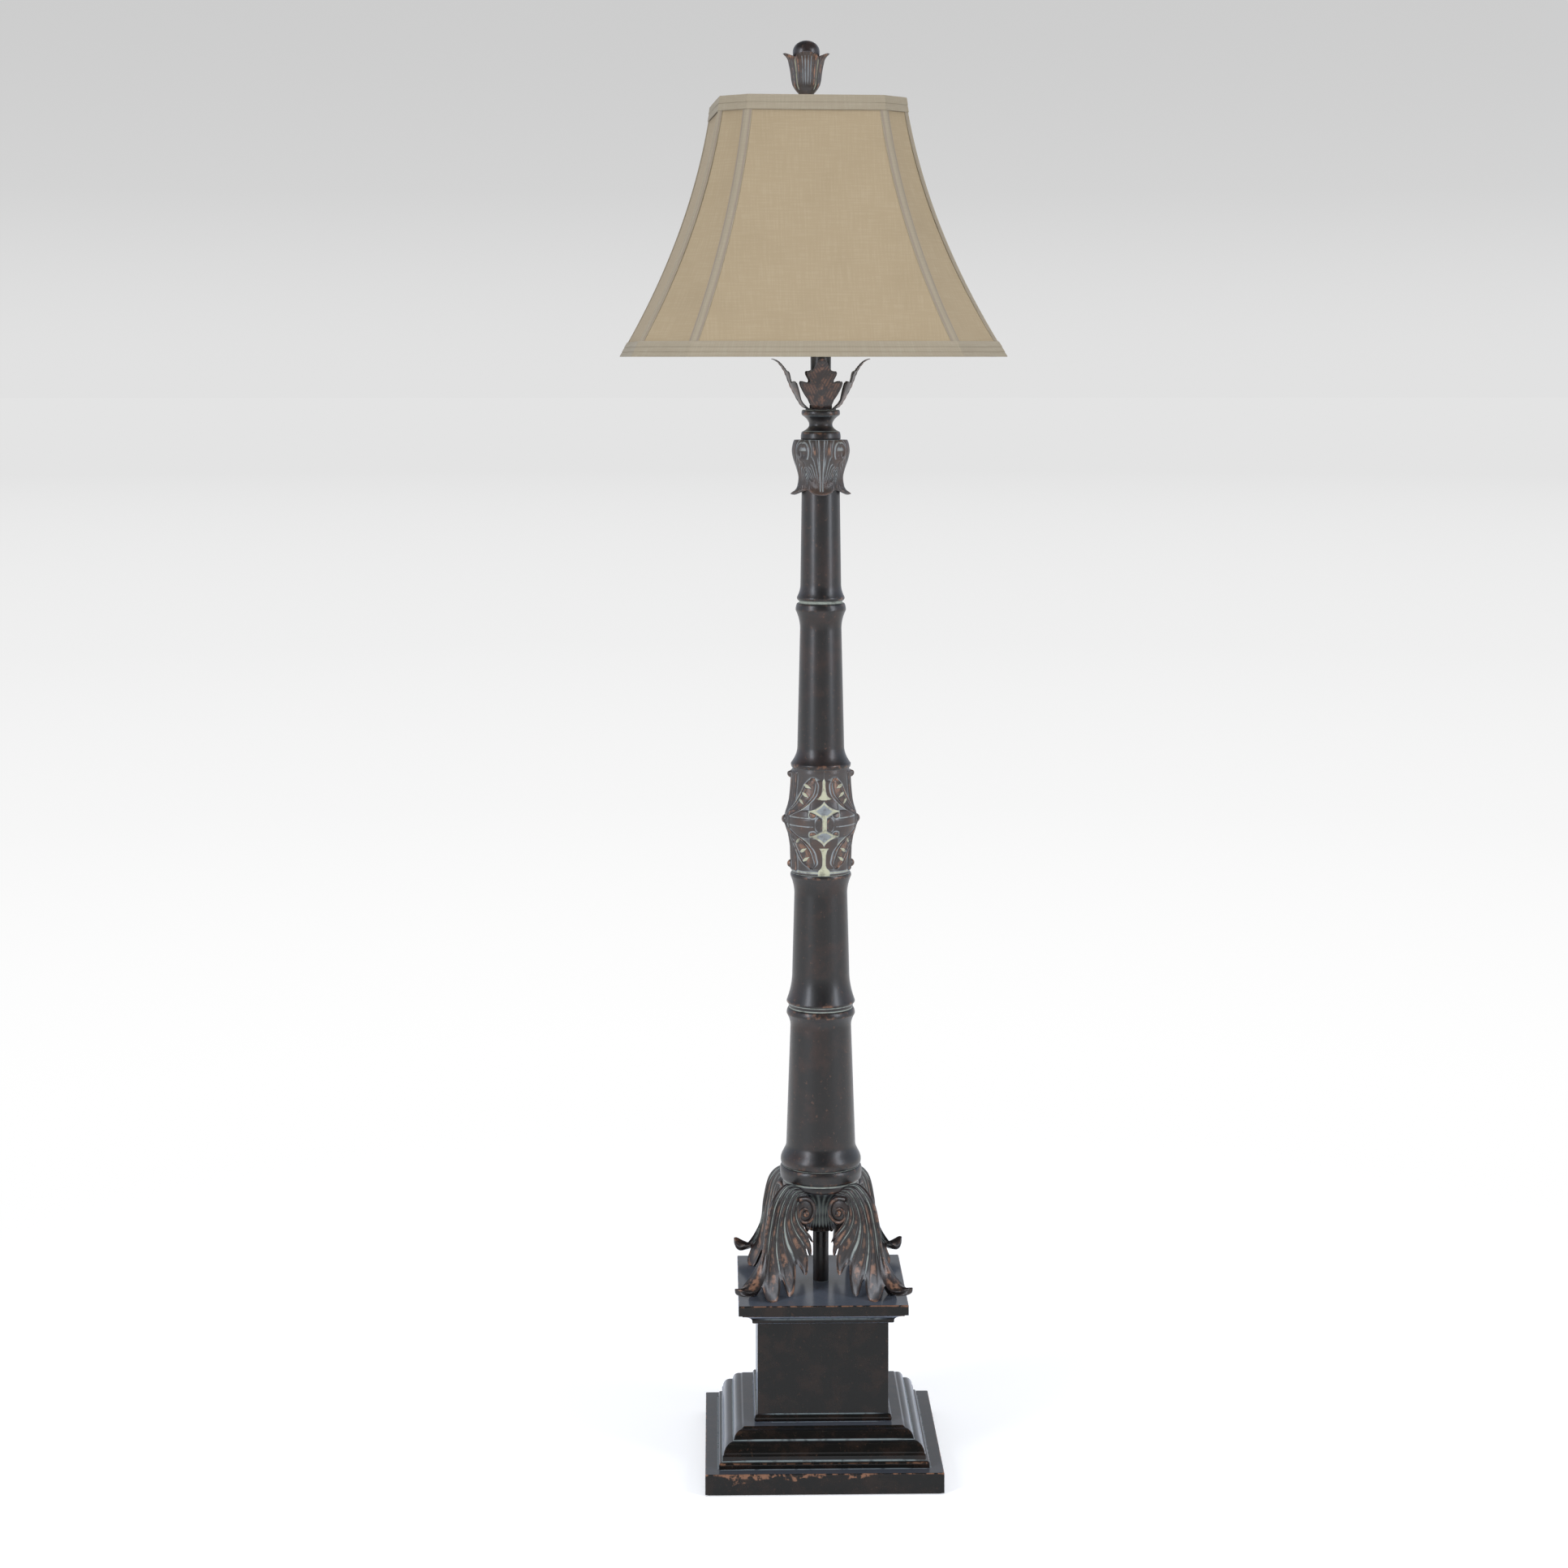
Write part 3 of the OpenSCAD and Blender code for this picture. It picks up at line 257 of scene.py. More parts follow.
class Finish(Enum):
    """The lamp's finishes, each made once."""

    # Sprayed cast resin: a near-black ground that shows brown where it is thin, rubbed on the turned edges.
    BRONZE = AgedBronze("bronze_painted_resin")
    # The same paint on the square base, which was hardly rubbed: thin pale lines stay in its steps. Its ground is
    # darker than the column's: painted shade, as the low base gets less light.
    BASE = AgedBronze("bronze_painted_base", base="#100f0d", warm="#211813", wash="#8a9593", copper_from=0.7,
                      copper_to=1.6, wash_from=0.3, wash_to=0.75, rub_from=0.46, rub_to=0.56, copper_share=0.8,
                      wash_share=0.7, flecks=0.12, roughness=0.1, specular=0.28, coat=0.0, grain=0.06,
                      bloom=0.85)
    # The same paint on carving, with a thick greenish wash left in the hollows.
    CARVED = AgedBronze("bronze_carved_resin", base="#3e3937", warm="#4a3a32", copper="#a07459", wash="#bcbb9f",
                        haze="#8b9193", wash_from=0.08, wash_to=0.4, copper_to=0.7, rub_from=0.44, rub_to=0.6,
                        copper_share=0.75, wash_share=0.9, roughness=0.34)
    # The carving of the legs, with a thinner and greyer wash.
    LEG = AgedBronze("bronze_carved_legs", base="#221d1b", copper="#a07459", wash="#a3a99f", haze="#87908f",
                     wash_from=0.1, wash_to=0.55, copper_from=0.15, copper_to=0.7, rub_from=0.44, rub_to=0.6,
                     copper_share=0.7, wash_share=0.9, roughness=0.3)
    # Sheet steel with the same paint, rubbed harder, so that more copper shows.
    LEAF = AgedBronze("bronze_painted_sheet", base="#28211f", copper="#8a5f48", wash="#6c7270", copper_from=0.0,
                      copper_to=0.6, rub_from=0.42, rub_to=0.6, copper_share=0.75, wash_share=0.6)
    # Tan linen on the panels.
    LINEN = Linen("linen_tan", "#9b8a6e", "#a5957a", "#807056")
    # Folded linen ribbon, a little greyer.
    RIBBON = Linen("linen_ribbon", "#928773", "#9b927e", "#7a6f5b", thread_mm=1.0)
    # Spun and lacquered brass: warm, with fine turned lines.
    BRASS = PlainFinish("brass_lacquered", "#a8823f", "#8f6c33", 4.0, 0.28, 1.0, 0.05, stretch=(1, 1, 12))
    # Zinc-plated steel rod and nuts: cool and slightly cloudy.
    ZINC = PlainFinish("steel_zinc_plated", "#b4b6b8", "#8f9194", 6.0, 0.3, 1.0, 0.1)
    # Cast iron straight from the sand: dark and rough.
    IRON = PlainFinish("iron_sand_cast", "#3c3c3e", "#2b2a2a", 2.5, 0.7, 0.0, 0.6)
    # Pressed phenolic: black, faintly mottled.
    PHENOLIC = PlainFinish("phenolic_moulded", "#17130f", "#231b15", 5.0, 0.35, 0.0, 0.08)
    # Powder-coated wire: chalky white with a fine orange peel.
    COATED_WIRE = PlainFinish("steel_powder_coated", "#d9d6cc", "#c9c5b8", 1.5, 0.5, 0.0, 0.2)
    # Laminated styrene lining: smooth off-white.
    STYRENE = PlainFinish("styrene_lining", "#e0dac8", "#d8d1be", 30.0, 0.55, 0.0, 0.05)
    # Frosted bulb glass: white and dull.
    FROSTED = PlainFinish("glass_frosted", "#e8e7e2", "#dedcd4", 12.0, 0.35, 0.0, 0.03)
    # The bulb's screw shell: bright rolled aluminium.
    SCREW = PlainFinish("aluminium_rolled", "#c4c6c8", "#a9abae", 3.0, 0.25, 1.0, 0.08, stretch=(1, 1, 8))
    # Pressed wool felt under the base: black and fibrous.
    FELT = PlainFinish("felt_wool", "#1c1b1b", "#2a2929", 1.2, 0.85, 0.0, 0.8)

    def material(self) -> bpy.types.Material:
        """Give this finish's material, made on first use."""
        if self.value.name not in bpy.data.materials:
            self.value.build()
        return bpy.data.materials[self.value.name]


# ---------- curves ----------


def bell(x: np.ndarray, width: float) -> np.ndarray:
    """Give 1 where x is 0, falling off smoothly to nothing within about twice the width."""
    return np.exp(-((x / width) ** 2))


def ramp(x: np.ndarray, start: float, end: float) -> np.ndarray:
    """Go evenly from 0 at the start to 1 at the end, and hold both beyond."""
    return np.clip((x - start) / (end - start), 0, 1)


def soft(inside: np.ndarray, width: float) -> np.ndarray:
    """Give 1 well inside a shape and 0 outside, with a slope as wide as that between."""
    t = np.clip(inside / width + 0.5, 0, 1)
    return t * t * (3 - 2 * t)


def unit(vectors: np.ndarray) -> np.ndarray:
    """Scale vectors to a length of 1."""
    return vectors / (np.linalg.norm(vectors, axis=-1, keepdims=True) + 1e-12)


def way_along(points: np.ndarray) -> np.ndarray:
    """Measure how far each point of a line lies from its start, along the line."""
    return np.concatenate([[0], np.cumsum(np.linalg.norm(np.diff(points, axis=0), axis=1))])


def angles(count: int) -> np.ndarray:
    """Give evenly spaced angles round a turn, in degrees."""
    return np.arange(count) * 360.0 / count


def polar(radius: np.ndarray, degrees: np.ndarray, height: np.ndarray) -> np.ndarray:
    """Give points round the column's axis from radii, angles and heights that broadcast together."""
    turn = np.radians(degrees)
    return np.stack(np.broadcast_arrays(radius * np.cos(turn), radius * np.sin(turn), height), axis=-1)


def key_places(share: np.ndarray, last: int) -> tuple[tuple[np.ndarray, ...], np.ndarray]:
    """Find the four keys round each share of a smooth curve, and how far it is from the second to the third."""
    x = np.clip(share * last, 0, last - 1e-6)
    i = np.floor(x).astype(int)
    return (np.maximum(i - 1, 0), i, i + 1, np.minimum(i + 2, last)), x - i


def between(a: np.ndarray, b: np.ndarray, c: np.ndarray, d: np.ndarray, t: np.ndarray) -> np.ndarray:
    """Go smoothly from b to c as t goes from 0 to 1, with the slopes that a and d give."""
    return 0.5 * (2 * b + (c - a) * t + (2 * a - 5 * b + 4 * c - d) * t**2 + (3 * b - a - 3 * c + d) * t**3)


def along(keys: Sequence[Sequence[float]] | np.ndarray, share: np.ndarray) -> np.ndarray:
    """Follow a smooth curve through key points.

    Args:
        keys: The points, first axis first.
        share: Places on the curve, from 0 at its start to 1 at its end.

    Returns:
        A point for each share.
    """
    p = np.asarray(keys, dtype=float)
    picks, t = key_places(np.asarray(share, dtype=float), len(p) - 1)
    return between(*(p[k] for k in picks), t.reshape(t.shape + (1,) * (p.ndim - 1)))


class Step(Enum):
    """Kinds of moulding between two points of a turned outline."""

    LINE = "line"
    ROUND_OUT = "round_out"
    ROUND_IN = "round_in"
    EASE = "ease"
    FLARE_IN = "flare_in"
    FLARE_OUT = "flare_out"

    def shares(self, t: np.ndarray) -> tuple[np.ndarray, np.ndarray]:
        """Give the shares of the change in radius and in height at places t, from 0 to 1."""
        slow, fast = 1 - np.cos(t * math.pi / 2), np.sin(t * math.pi / 2)
        return {
            Step.LINE: (t, t),
            Step.ROUND_OUT: (fast, slow),
            Step.ROUND_IN: (slow, fast),
            Step.EASE: ((1 - np.cos(math.pi * t)) / 2, t),
            Step.FLARE_IN: (1 - (1 - t) ** 2, t),
            Step.FLARE_OUT: (t**2, t),
        }[self]


LINE, ROUND_OUT, ROUND_IN, EASE, FLARE_IN, FLARE_OUT = Step


def turning(start: tuple[float, float], steps: Sequence[tuple[Step, float, float]]) -> np.ndarray:
    """Draw a turned outline.

    Args:
        start: The first radius and height.
        steps: Each moulding's kind, with its last radius and height.

    Returns:
        The outline's points, as radius and height.
    """
    here = np.array(start, dtype=float)
    points = [here[None]]
    for kind, *end in steps:
        t = np.linspace(0, 1, 2 if kind is LINE else 13)[1:]
        change = np.array(end, dtype=float) - here
        points.append(here + change * np.stack(kind.shares(t), axis=1))
        here = here + change
    return np.concatenate(points)


def resample(points: np.ndarray, spacing: float) -> np.ndarray:
    """Lay points evenly along a line of points, as far apart as the spacing says or nearly so."""
    way = way_along(points)
    where = np.linspace(0, way[-1], max(int(round(way[-1] / spacing)), 4) + 1)
    return np.stack([np.interp(where, way, column) for column in points.T], axis=1)


def blurred(values: np.ndarray, samples: float) -> np.ndarray:
    """Blur rows of values along their first axis by a number of places, holding both ends."""
    reach = int(math.ceil(samples * 3))
    weights = np.exp(-0.5 * (np.arange(-reach, reach + 1) / samples) ** 2)
    weights /= weights.sum()
    before, after = 2 * values[:1] - values[reach:0:-1], 2 * values[-1:] - values[-2 : -reach - 2 : -1]
    padded = np.concatenate([before, values, after])
    return np.stack([np.convolve(column, weights, "valid") for column in padded.T], axis=1)


def outline_with_relief(points: np.ndarray, spacing: float, soften: float, reach: float,
                        joints: tuple[float, float] = (0.6, 0.6), grooves: Sequence[float] = (),
                        deepest: float = -9.0) -> tuple[np.ndarray, np.ndarray]:
    """Round an outline's corners and find how far each place stands out.

    Args:
        points: The outline.
        spacing: The distance between its new points.
        soften: The radius of its corners.
        reach: How wide the hollows and edges are that count as relief.
        joints: How deep the hollow counts where the foot and the top meet their neighbours.
        grooves: Heights of the fine grooves that hold a line of wash.
        deepest: The least relief that a wide hollow counts as.

    Returns:
        The outline's points, and for each its height over the blurred outline, in mm.
    """
    joint_w, groove_w, groove_depth = 1.3, 0.8, 0.95
    fine = resample(points, spacing)
    reach_samples = min(reach / spacing, (len(fine) - 2) / 3.2)
    rounded = blurred(fine, max(min(soften / spacing, reach_samples), 0.3))
    rounded[0], rounded[-1] = fine[0], fine[-1]
    outward = unit(np.gradient(rounded, axis=0))[:, ::-1] * (1, -1)
    relief = np.maximum(np.sum((rounded - blurred(rounded, reach_samples)) * outward, axis=1), deepest)
    for height in grooves:
        relief = relief - groove_depth * bell(rounded[:, 1] - height, groove_w)
    away = np.arange(len(rounded)) * spacing
    return rounded, relief - joints[0] * bell(away, joint_w) - joints[1] * bell(away[::-1], joint_w)


# ---------- meshes ----------


@dataclass
class Skin:
    """Points in millimetres, faces, and the relief of each point, that can be added to one another."""

    points: np.ndarray
    faces: list[tuple[int, ...]]
    relief: np.ndarray

    def moved(self, matrix: np.ndarray, shift: Sequence[float] = (0.0, 0.0, 0.0)) -> Skin:
        """Give a copy that is turned by a 3 by 3 matrix and then shifted, its faces turned over if mirrored."""
        flip = np.linalg.det(matrix) < 0
        faces = [tuple(reversed(f)) for f in self.faces] if flip else list(self.faces)
        return Skin(self.points @ matrix.T + shift, faces, self.relief.copy())

    def shifted(self, x: float = 0.0, y: float = 0.0, z: float = 0.0) -> Skin:
        """Give a copy in another place."""
        return self.moved(np.eye(3), (x, y, z))

    def __add__(self, other: Skin) -> Skin:
        """Join two skins."""
        offset = len(self.points)
        return Skin(
            np.concatenate([self.points, other.points]),
            self.faces + [tuple(i + offset for i in f) for f in other.faces],
            np.concatenate([self.relief, other.relief]),
        )


def turn_z(degrees: float) -> np.ndarray:
    """Give the matrix of a turn about the column's axis."""
    c, s = math.cos(math.radians(degrees)), math.sin(math.radians(degrees))
    return np.array([[c, -s, 0], [s, c, 0], [0, 0, 1]])


def ring_skin(rings: np.ndarray, relief: np.ndarray, closed: bool = False) -> Skin:
    """Cover rings of points, each closed, with faces.

    Args:
        rings: Rings by points by three, each ring going anticlockwise seen from above where they rise.
        relief: The relief of each point.
        closed: Whether the last ring joins the first; otherwise both ends are capped.

    Returns:
        The skin.
    """
    rows, cols = rings.shape[:2]
    faces: list[tuple[int, ...]] = []
    for i in range(rows if closed else rows - 1):
        a, b = i * cols, (i + 1) % rows * cols
        faces += [(a + j, a + (j + 1) % cols, b + (j + 1) % cols, b + j) for j in range(cols)]
    points, values = rings.reshape(-1, 3), relief.reshape(-1)
    if not closed:
        low, high, top = rows * cols, rows * cols + 1, (rows - 1) * cols
        faces += [(low, (j + 1) % cols, j) for j in range(cols)]
        faces += [(high, top + j, top + (j + 1) % cols) for j in range(cols)]
        points = np.concatenate([points, [rings[0].mean(axis=0), rings[-1].mean(axis=0)]])
        values = np.concatenate([values, [relief[0].mean(), relief[-1].mean()]])
    return Skin(points, faces, values)


def sheet_skin(outer: np.ndarray, inner: np.ndarray, relief: np.ndarray) -> Skin:
    """Make a closed sheet between two grids of points.

    Args:
        outer: Rows by columns by three: the face whose normal is rows crossed with columns.
        inner: The other face, which has no relief.
        relief: The relief of the outer face's points.

    Returns:
        The skin.
    """
    total = relief.size
    index = np.arange(total).reshape(relief.shape)
    a, b, c, d = index[:-1, :-1], index[:-1, 1:], index[1:, 1:], index[1:, :-1]
    front = np.stack([a, d, c, b], axis=-1).reshape(-1, 4)
    edge = np.concatenate([index[0], index[1:, -1], index[-1, -2::-1], index[-2:0:-1, 0]])
    after = np.roll(edge, -1)
    rim = np.stack([edge, after, after + total, edge + total], axis=-1)
    faces = [tuple(f) for f in np.concatenate([front, front[:, [0, 3, 2, 1]] + total, rim]).tolist()]
    points = np.concatenate([outer.reshape(-1, 3), inner.reshape(-1, 3)])
    return Skin(points, faces, np.concatenate([relief.reshape(-1), np.zeros(total)]))


def lathe(outline: np.ndarray, relief: np.ndarray, segments: int = 120,
          shape: Callable[[np.ndarray], np.ndarray] | None = None) -> Skin:
    """Turn an outline round the column's axis.

    Args:
        outline: Its radii and heights, from the foot up.
        relief: The relief of each point.
        segments: Points round a turn.
        shape: What is added to the radius and to the relief, from the angle in degrees.

    Returns:
        The skin.
    """
    angle = angles(segments)
    extra = np.zeros(segments) if shape is None else shape(angle)
    return ring_skin(polar(outline[:, :1] + extra, angle, outline[:, 1:]), relief[:, None] + extra)


def tube(path: np.ndarray, radius: np.ndarray, side: np.ndarray, sides: int = 14, depth: float = 1.0) -> Skin:
    """Sweep a round or oval section along a path that lies in a plane.

    Args:
        path: Its points.
        radius: The section's radius at each.
        side: The plane's normal.
        sides: Points round a section.
        depth: The section's size along the plane's normal, over its size in the plane.

    Returns:
        The skin, capped at both ends.
    """
    across = np.cross(unit(np.gradient(path, axis=0)), side)[:, None]
    turn = np.radians(angles(sides))[:, None]
    rings = path[:, None] + radius[:, None, None] * (np.cos(turn) * across + depth * np.sin(turn) * side)
    return ring_skin(rings, np.broadcast_to(0.75 * np.abs(np.sin(turn[:, 0])) - 0.3, rings.shape[:2]))


def make_piece(name: str, skin: Skin, finish: Finish, node: str, body: str = "stand",
               sharp: float = 38.0) -> bpy.types.Object:
    """Make one piece of the lamp from a skin.

    Args:
        name: The piece's name.
        skin: Its mesh, in millimetres.
        finish: Its finish.
        node: The frame's node that it stands for.
        body: The body that it rides on.
        sharp: The angle, in degrees, from which an edge is drawn sharp.

    Returns:
        The new object.
    """
    mesh = bpy.data.meshes.new(name)
    mesh.from_pydata((skin.points * MM).tolist(), [], skin.faces)
    mesh.update()
    mesh.polygons.foreach_set("use_smooth", [True] * len(mesh.polygons))
    mesh.set_sharp_from_angle(angle=math.radians(sharp))
    mesh.attributes.new("relief", "FLOAT", "POINT").data.foreach_set("value", skin.relief.astype(np.float32))
    mesh.materials.append(finish.material())
    piece = new_object(name, mesh)
    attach(piece, body)
    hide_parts(node)
    LOG.info("%s: %d points, rides on %s", name, len(skin.points), body)
    return piece


# ---------- plinth ----------


@dataclass
class Plinth:
    """The stepped square base, from the floor to the top of its cap."""

    plate_half: float = 134.7
    plate: tuple[float, float] = (1.5, 24.0)
    fillet_halves: tuple[float, float] = (119.1, 114.0)
    fillet_h: float = 7.2
    ogee_half: float = 90.9
    ogee_h: float = 24.4
    bead_half: float = 78.6
    bead_h: float = 8.0
    box_half: float = 75.0
    box_h: float = 105.2
    cove_halves: tuple[float, float] = (81.2, 92.7)
    cove_h: float = 13.7
    cap_half: float = 96.9
    cap_h: float = 11.3
    arris: float = 1.0
    # How far the plate's and the cap's tops run in under their neighbours.
    tuck: float = 14.0
    # Rubbed places on the plate's front: middle, reach, height and how tall each is.
    scuffs: tuple[tuple[float, float, float, float], ...] = (
        (-88, 26, 21.0, 2.2), (-96, 14, 15.5, 1.8), (-48, 24, 22.0, 1.6), (-32, 12, 19.5, 2.0), (38, 12, 20.5, 2.6),
        (-4, 10, 22.6, 1.0))

    def square_turning(self, outline: np.ndarray, base: float, side_steps: int = 8,
                       joints: tuple[float, float] = (0.6, 0.6)) -> Skin:
        """Run an outline round a square with slightly rounded corners.

        Args:
            outline: Half widths and heights, from the foot up.
            base: The height of the outline's foot.
            side_steps: How many faces each side has.
            joints: How deep a hollow its foot and its top count as.

        Returns:
            The skin.
        """
        line, relief = outline_with_relief(outline, 0.8, 0.5, 3.5, joints)
        corner_wear = 0.35
        plan = []
        for start in (-90, 0, 90, 180):
            way, across = turn_z(start)[:2, 0], turn_z(start)[:2, 1]
            plan += [(way + across * s, way, 0.0) for s in np.linspace(-1, 1, side_steps + 1)[1:-1]]
            plan += [(way + across, turn_z(start + a)[:2, 0], corner_wear) for a in np.linspace(0, 90, 6)]
        places, normals, worn = (np.array(column) for column in zip(*plan))
        flat = (line[:, :1, None] - self.arris) * places + self.arris * normals
        heights = np.broadcast_to(line[:, 1:, None] + base, flat.shape[:2] + (1,))
        return ring_skin(np.concatenate([flat, heights], axis=2), relief[:, None] + worn)

    def rubbed_plate(self) -> Skin:
        """Make the base plate, worn to copper along its front edge where shoes and brooms meet it."""
        z0, z1 = self.plate
        skin = self.square_turning(self.slab(self.plate_half, z1 - z0), z0, 90, (0.0, 0.6))
        x, y, z = skin.points.T
        front = ramp(-y, self.plate_half - 3, self.plate_half - 1)
        for middle, reach, height, tall in self.scuffs:
            level = height + 1.6 * np.sin(x / 5.0) + 1.2 * np.sin(x / 2.3)
            patch = np.exp(-(((x - middle) / reach) ** 4)) * bell(z - level, tall)
            skin.relief += 2.4 * patch * front
        return skin

    def slab(self, half: float, height: float) -> np.ndarray:
        """Draw the outline of a plain slab whose top runs in under its neighbour."""
        return np.array([(half, 0), (half, height), (half - self.tuck, height)])

    def build(self) -> None:
        """Make the plinth's six pieces, each on top of the one before."""
        self.place("base_plate", self.rubbed_plate())
        lower, upper = self.fillet_halves
        foot, top = self.cove_halves
        h = self.fillet_h
        ogee_top = 2 * h + self.ogee_h
        bend, bend_z = (upper + self.ogee_half) / 2, 2 * h + self.ogee_h / 2
        moulding = turning((lower, 0), [
            (LINE, lower, h - 1.4), (LINE, lower - 1.4, h), (LINE, upper + 1.2, h), (LINE, upper + 1.2, 2 * h - 0.8),
            (LINE, upper, 2 * h), (ROUND_IN, bend, bend_z),
            (ROUND_IN, self.ogee_half + 2, bend_z + self.ogee_h * 0.42), (LINE, self.ogee_half, ogee_top),
            (LINE, self.ogee_half - 12, ogee_top)])
        bead = turning((self.bead_half - 1.6, 0), [
            (ROUND_OUT, self.bead_half, self.bead_h * 0.4), (ROUND_IN, self.bead_half - 2, self.bead_h)])
        cove = turning((foot - 1.8, 0), [
            (LINE, foot, 0.8), (LINE, foot, 3), (FLARE_OUT, top - 1, self.cove_h - 2.4),
            (LINE, top, self.cove_h - 2.4), (LINE, top, self.cove_h)])
        base = self.plate[1]
        for node, outline, joints in (
            ("base_moulding", moulding, (0.6, 0.6)),
            ("plinth_bead", bead, (0.6, 0.6)),
            ("plinth_box", turning((self.box_half, 0), [(LINE, self.box_half, self.box_h)]), (0.8, 0.3)),
            ("cap_moulding", cove, (0.6, 0.6)),
            ("plinth_cap", self.slab(self.cap_half, self.cap_h), (0.3, 0.0)),
        ):
            self.place(node, self.square_turning(outline, base, joints=joints))
            base += outline[-1, 1]

    def place(self, node: str, skin: Skin) -> None:
        """Make the piece that stands for one square node."""
        make_piece(node + "_finished", skin, Finish.BASE, node)


# ---------- legs ----------


@dataclass
class ScrollLegs:
    """Four acanthus legs on the diagonals, the fluted hub between them and the bare pipe under it."""

    foot: float = 201.0
    wall: float = 8.0
    relief: float = 1.9
    notch: float = 0.2
    tip_curl: float = 2.2
    toe_lift: float = 7.0
    toe_spread: float = 9.0
    rows: int = 72
    cols: int = 200
    hub_h: float = 49.0
    hub_top: float = 110.0
    # Ribs of half a leaf, from its ridge to its inner edge, as [across, out, up] from the axis and the cap.
    ribs: tuple[tuple[tuple[float, float, float], ...], ...] = (
        ((28, 28, 116), (42.4, 42.4, 121.5), (56.6, 56.6, 107), (63.6, 63.6, 79), (67.2, 67.2, 52), (76.4, 76.4, 26),
         (88, 88, 13.5), (101, 101, 17.5)),
        ((24.5, 33, 115.5), (38, 44.5, 118.5), (50, 54.5, 103), (56, 60, 77), (58.5, 64, 54), (58, 69, 31),
         (57, 75, 12), (59, 80, -1.5)),
        ((21.5, 35.5, 114.5), (34, 44.5, 115.5), (44, 52, 100), (49, 57, 77), (48, 58.5, 55), (43, 60, 37),
         (38.5, 63, 19), (37.5, 66, 2.5)),
        ((18.5, 36.5, 112.5), (30, 44, 112), (37.5, 50, 98.5), (39.5, 53, 84), (35, 53, 68), (27, 50.5, 53),
         (20.5, 50, 38), (19, 51.5, 24)),
        ((16, 37.5, 111.5), (27, 44, 109.5), (33, 48.5, 98), (33.5, 50.5, 86), (29, 49.5, 74), (21.5, 47.5, 63.5),
         (15.5, 46, 53), (14, 46, 44)),
        ((14.5, 38, 110.5), (24.5, 44, 106.5), (28.5, 46.5, 98), (28.5, 47.5, 89), (25.5, 47, 80.5), (19.5, 45.5, 72),
         (13.5, 43.5, 64), (11.5, 43, 57.5)),
    )
    scroll_at: tuple[float, float, float] = (19.3, 43.5, 90.0)
    scroll_turn: float = 23.0
    # The scroll's middle line as [towards the column, up] from its eye.
    scroll_band: tuple[tuple[float, float], ...] = (
        (-9, 17.5), (0, 17.5), (7, 13.5), (10.6, 6), (10, -2.5), (4.8, -8.8), (-2.4, -9.6), (-7.4, -4.8), (-7.2, 2.2),
        (-2.8, 6.2), (2.4, 4.6))

    def leaf(self) -> Skin:
        """Make one leg's leaf, over the +X +Y diagonal, with its foot at height 0."""
        half = np.array(self.ribs)
        fan = np.concatenate([half[:0:-1][..., [1, 0, 2]], half])
        lobes = len(fan) - 1
        t = np.linspace(0, 1, self.rows + 1)[:, None]
        w = np.linspace(0, 1, self.cols + 1)[None] + 0 * t
        wave = (1 + np.cos(2 * math.pi * lobes * w)) / 2
        u = t * (1 - self.notch * (1 - wave) ** 1.5)
        step = 0.004
        down, across = (
            self.surface(fan, np.clip(u + du, 0, 1), np.clip(w + dw, 0, 1))
            - self.surface(fan, np.clip(u - du, 0, 1), np.clip(w - dw, 0, 1)) for du, dw in ((step, 0), (0, step)))
        normal = unit(np.cross(down, across))
        # Each lobe is gouged round, with a finer strand on both sides of its rib.
        off = np.abs((w * lobes + 0.5) % 1 - 0.5) * 2
        gouge = np.sqrt(1 - off**2)
        strand = np.sqrt(1 - (1 - 2 * np.abs(off - 0.5)) ** 4)
        envelope = np.sin(math.pi * np.clip(u + 0.15, 0, 0.9))
        rise = self.relief * envelope * (gouge + 0.35 * strand)
        curl = self.tip_curl * ramp(t, 0.88, 1) ** 2 * (0.3 + 0.7 * wave)
        # The toe, on the leaf's ridge, is spooned up and spread.
        lobe = w * lobes - lobes / 2
        on_toe = np.abs(lobe) < 0.5
        spoon = self.toe_lift * ramp(t, 0.72, 1) ** 1.5 * np.minimum(np.abs(lobe) / 0.62, 1) * on_toe
        toe = on_toe * np.sin(math.pi * ramp(t, 0.62, 1) ** 1.6)
        toe = toe * np.abs(np.sin(2 * math.pi * lobe)) * self.toe_spread * np.sign(lobe)
        surface = self.surface(fan, u, w) + toe[..., None] * np.array([-1.0, 1.0, 0.0]) / math.sqrt(2)
        outer = surface + normal * (rise + curl)[..., None]
        outer[..., 2] += spoon
        row, col = np.indices(u.shape)
        from_edge = np.minimum(self.rows - row, np.minimum(col, self.cols - col))
        rounding = 0.12 + 0.88 * np.sqrt(1 - (1 - np.clip(from_edge / 4, 0, 1)) ** 2)
        thick = self.wall * np.minimum(1 - 0.55 * u, 0.45 + 3 * u) * rounding
        inner = outer - normal * (thick + 0.6 * rise)[..., None]
        for grid in (outer, inner):
            grid[..., 2] = np.maximum(grid[..., 2], 0.0)
        cut = bell(1 - off, 0.15) + 0.6 * bell(off - 0.5, 0.09)
        bulge = np.clip(1 - ((t - 0.72) / 0.22) ** 2, 0, 1) + 0.8 * np.clip(1 - ((t - 0.4) / 0.16) ** 2, 0, 1)
        shown = 0.1 + 0.55 * bulge * (1 - off) - 1.1 * cut * np.clip(envelope * 1.5, 0, 1) + 0.4 * (t > 0.95)
        return sheet_skin(outer, inner, shown)

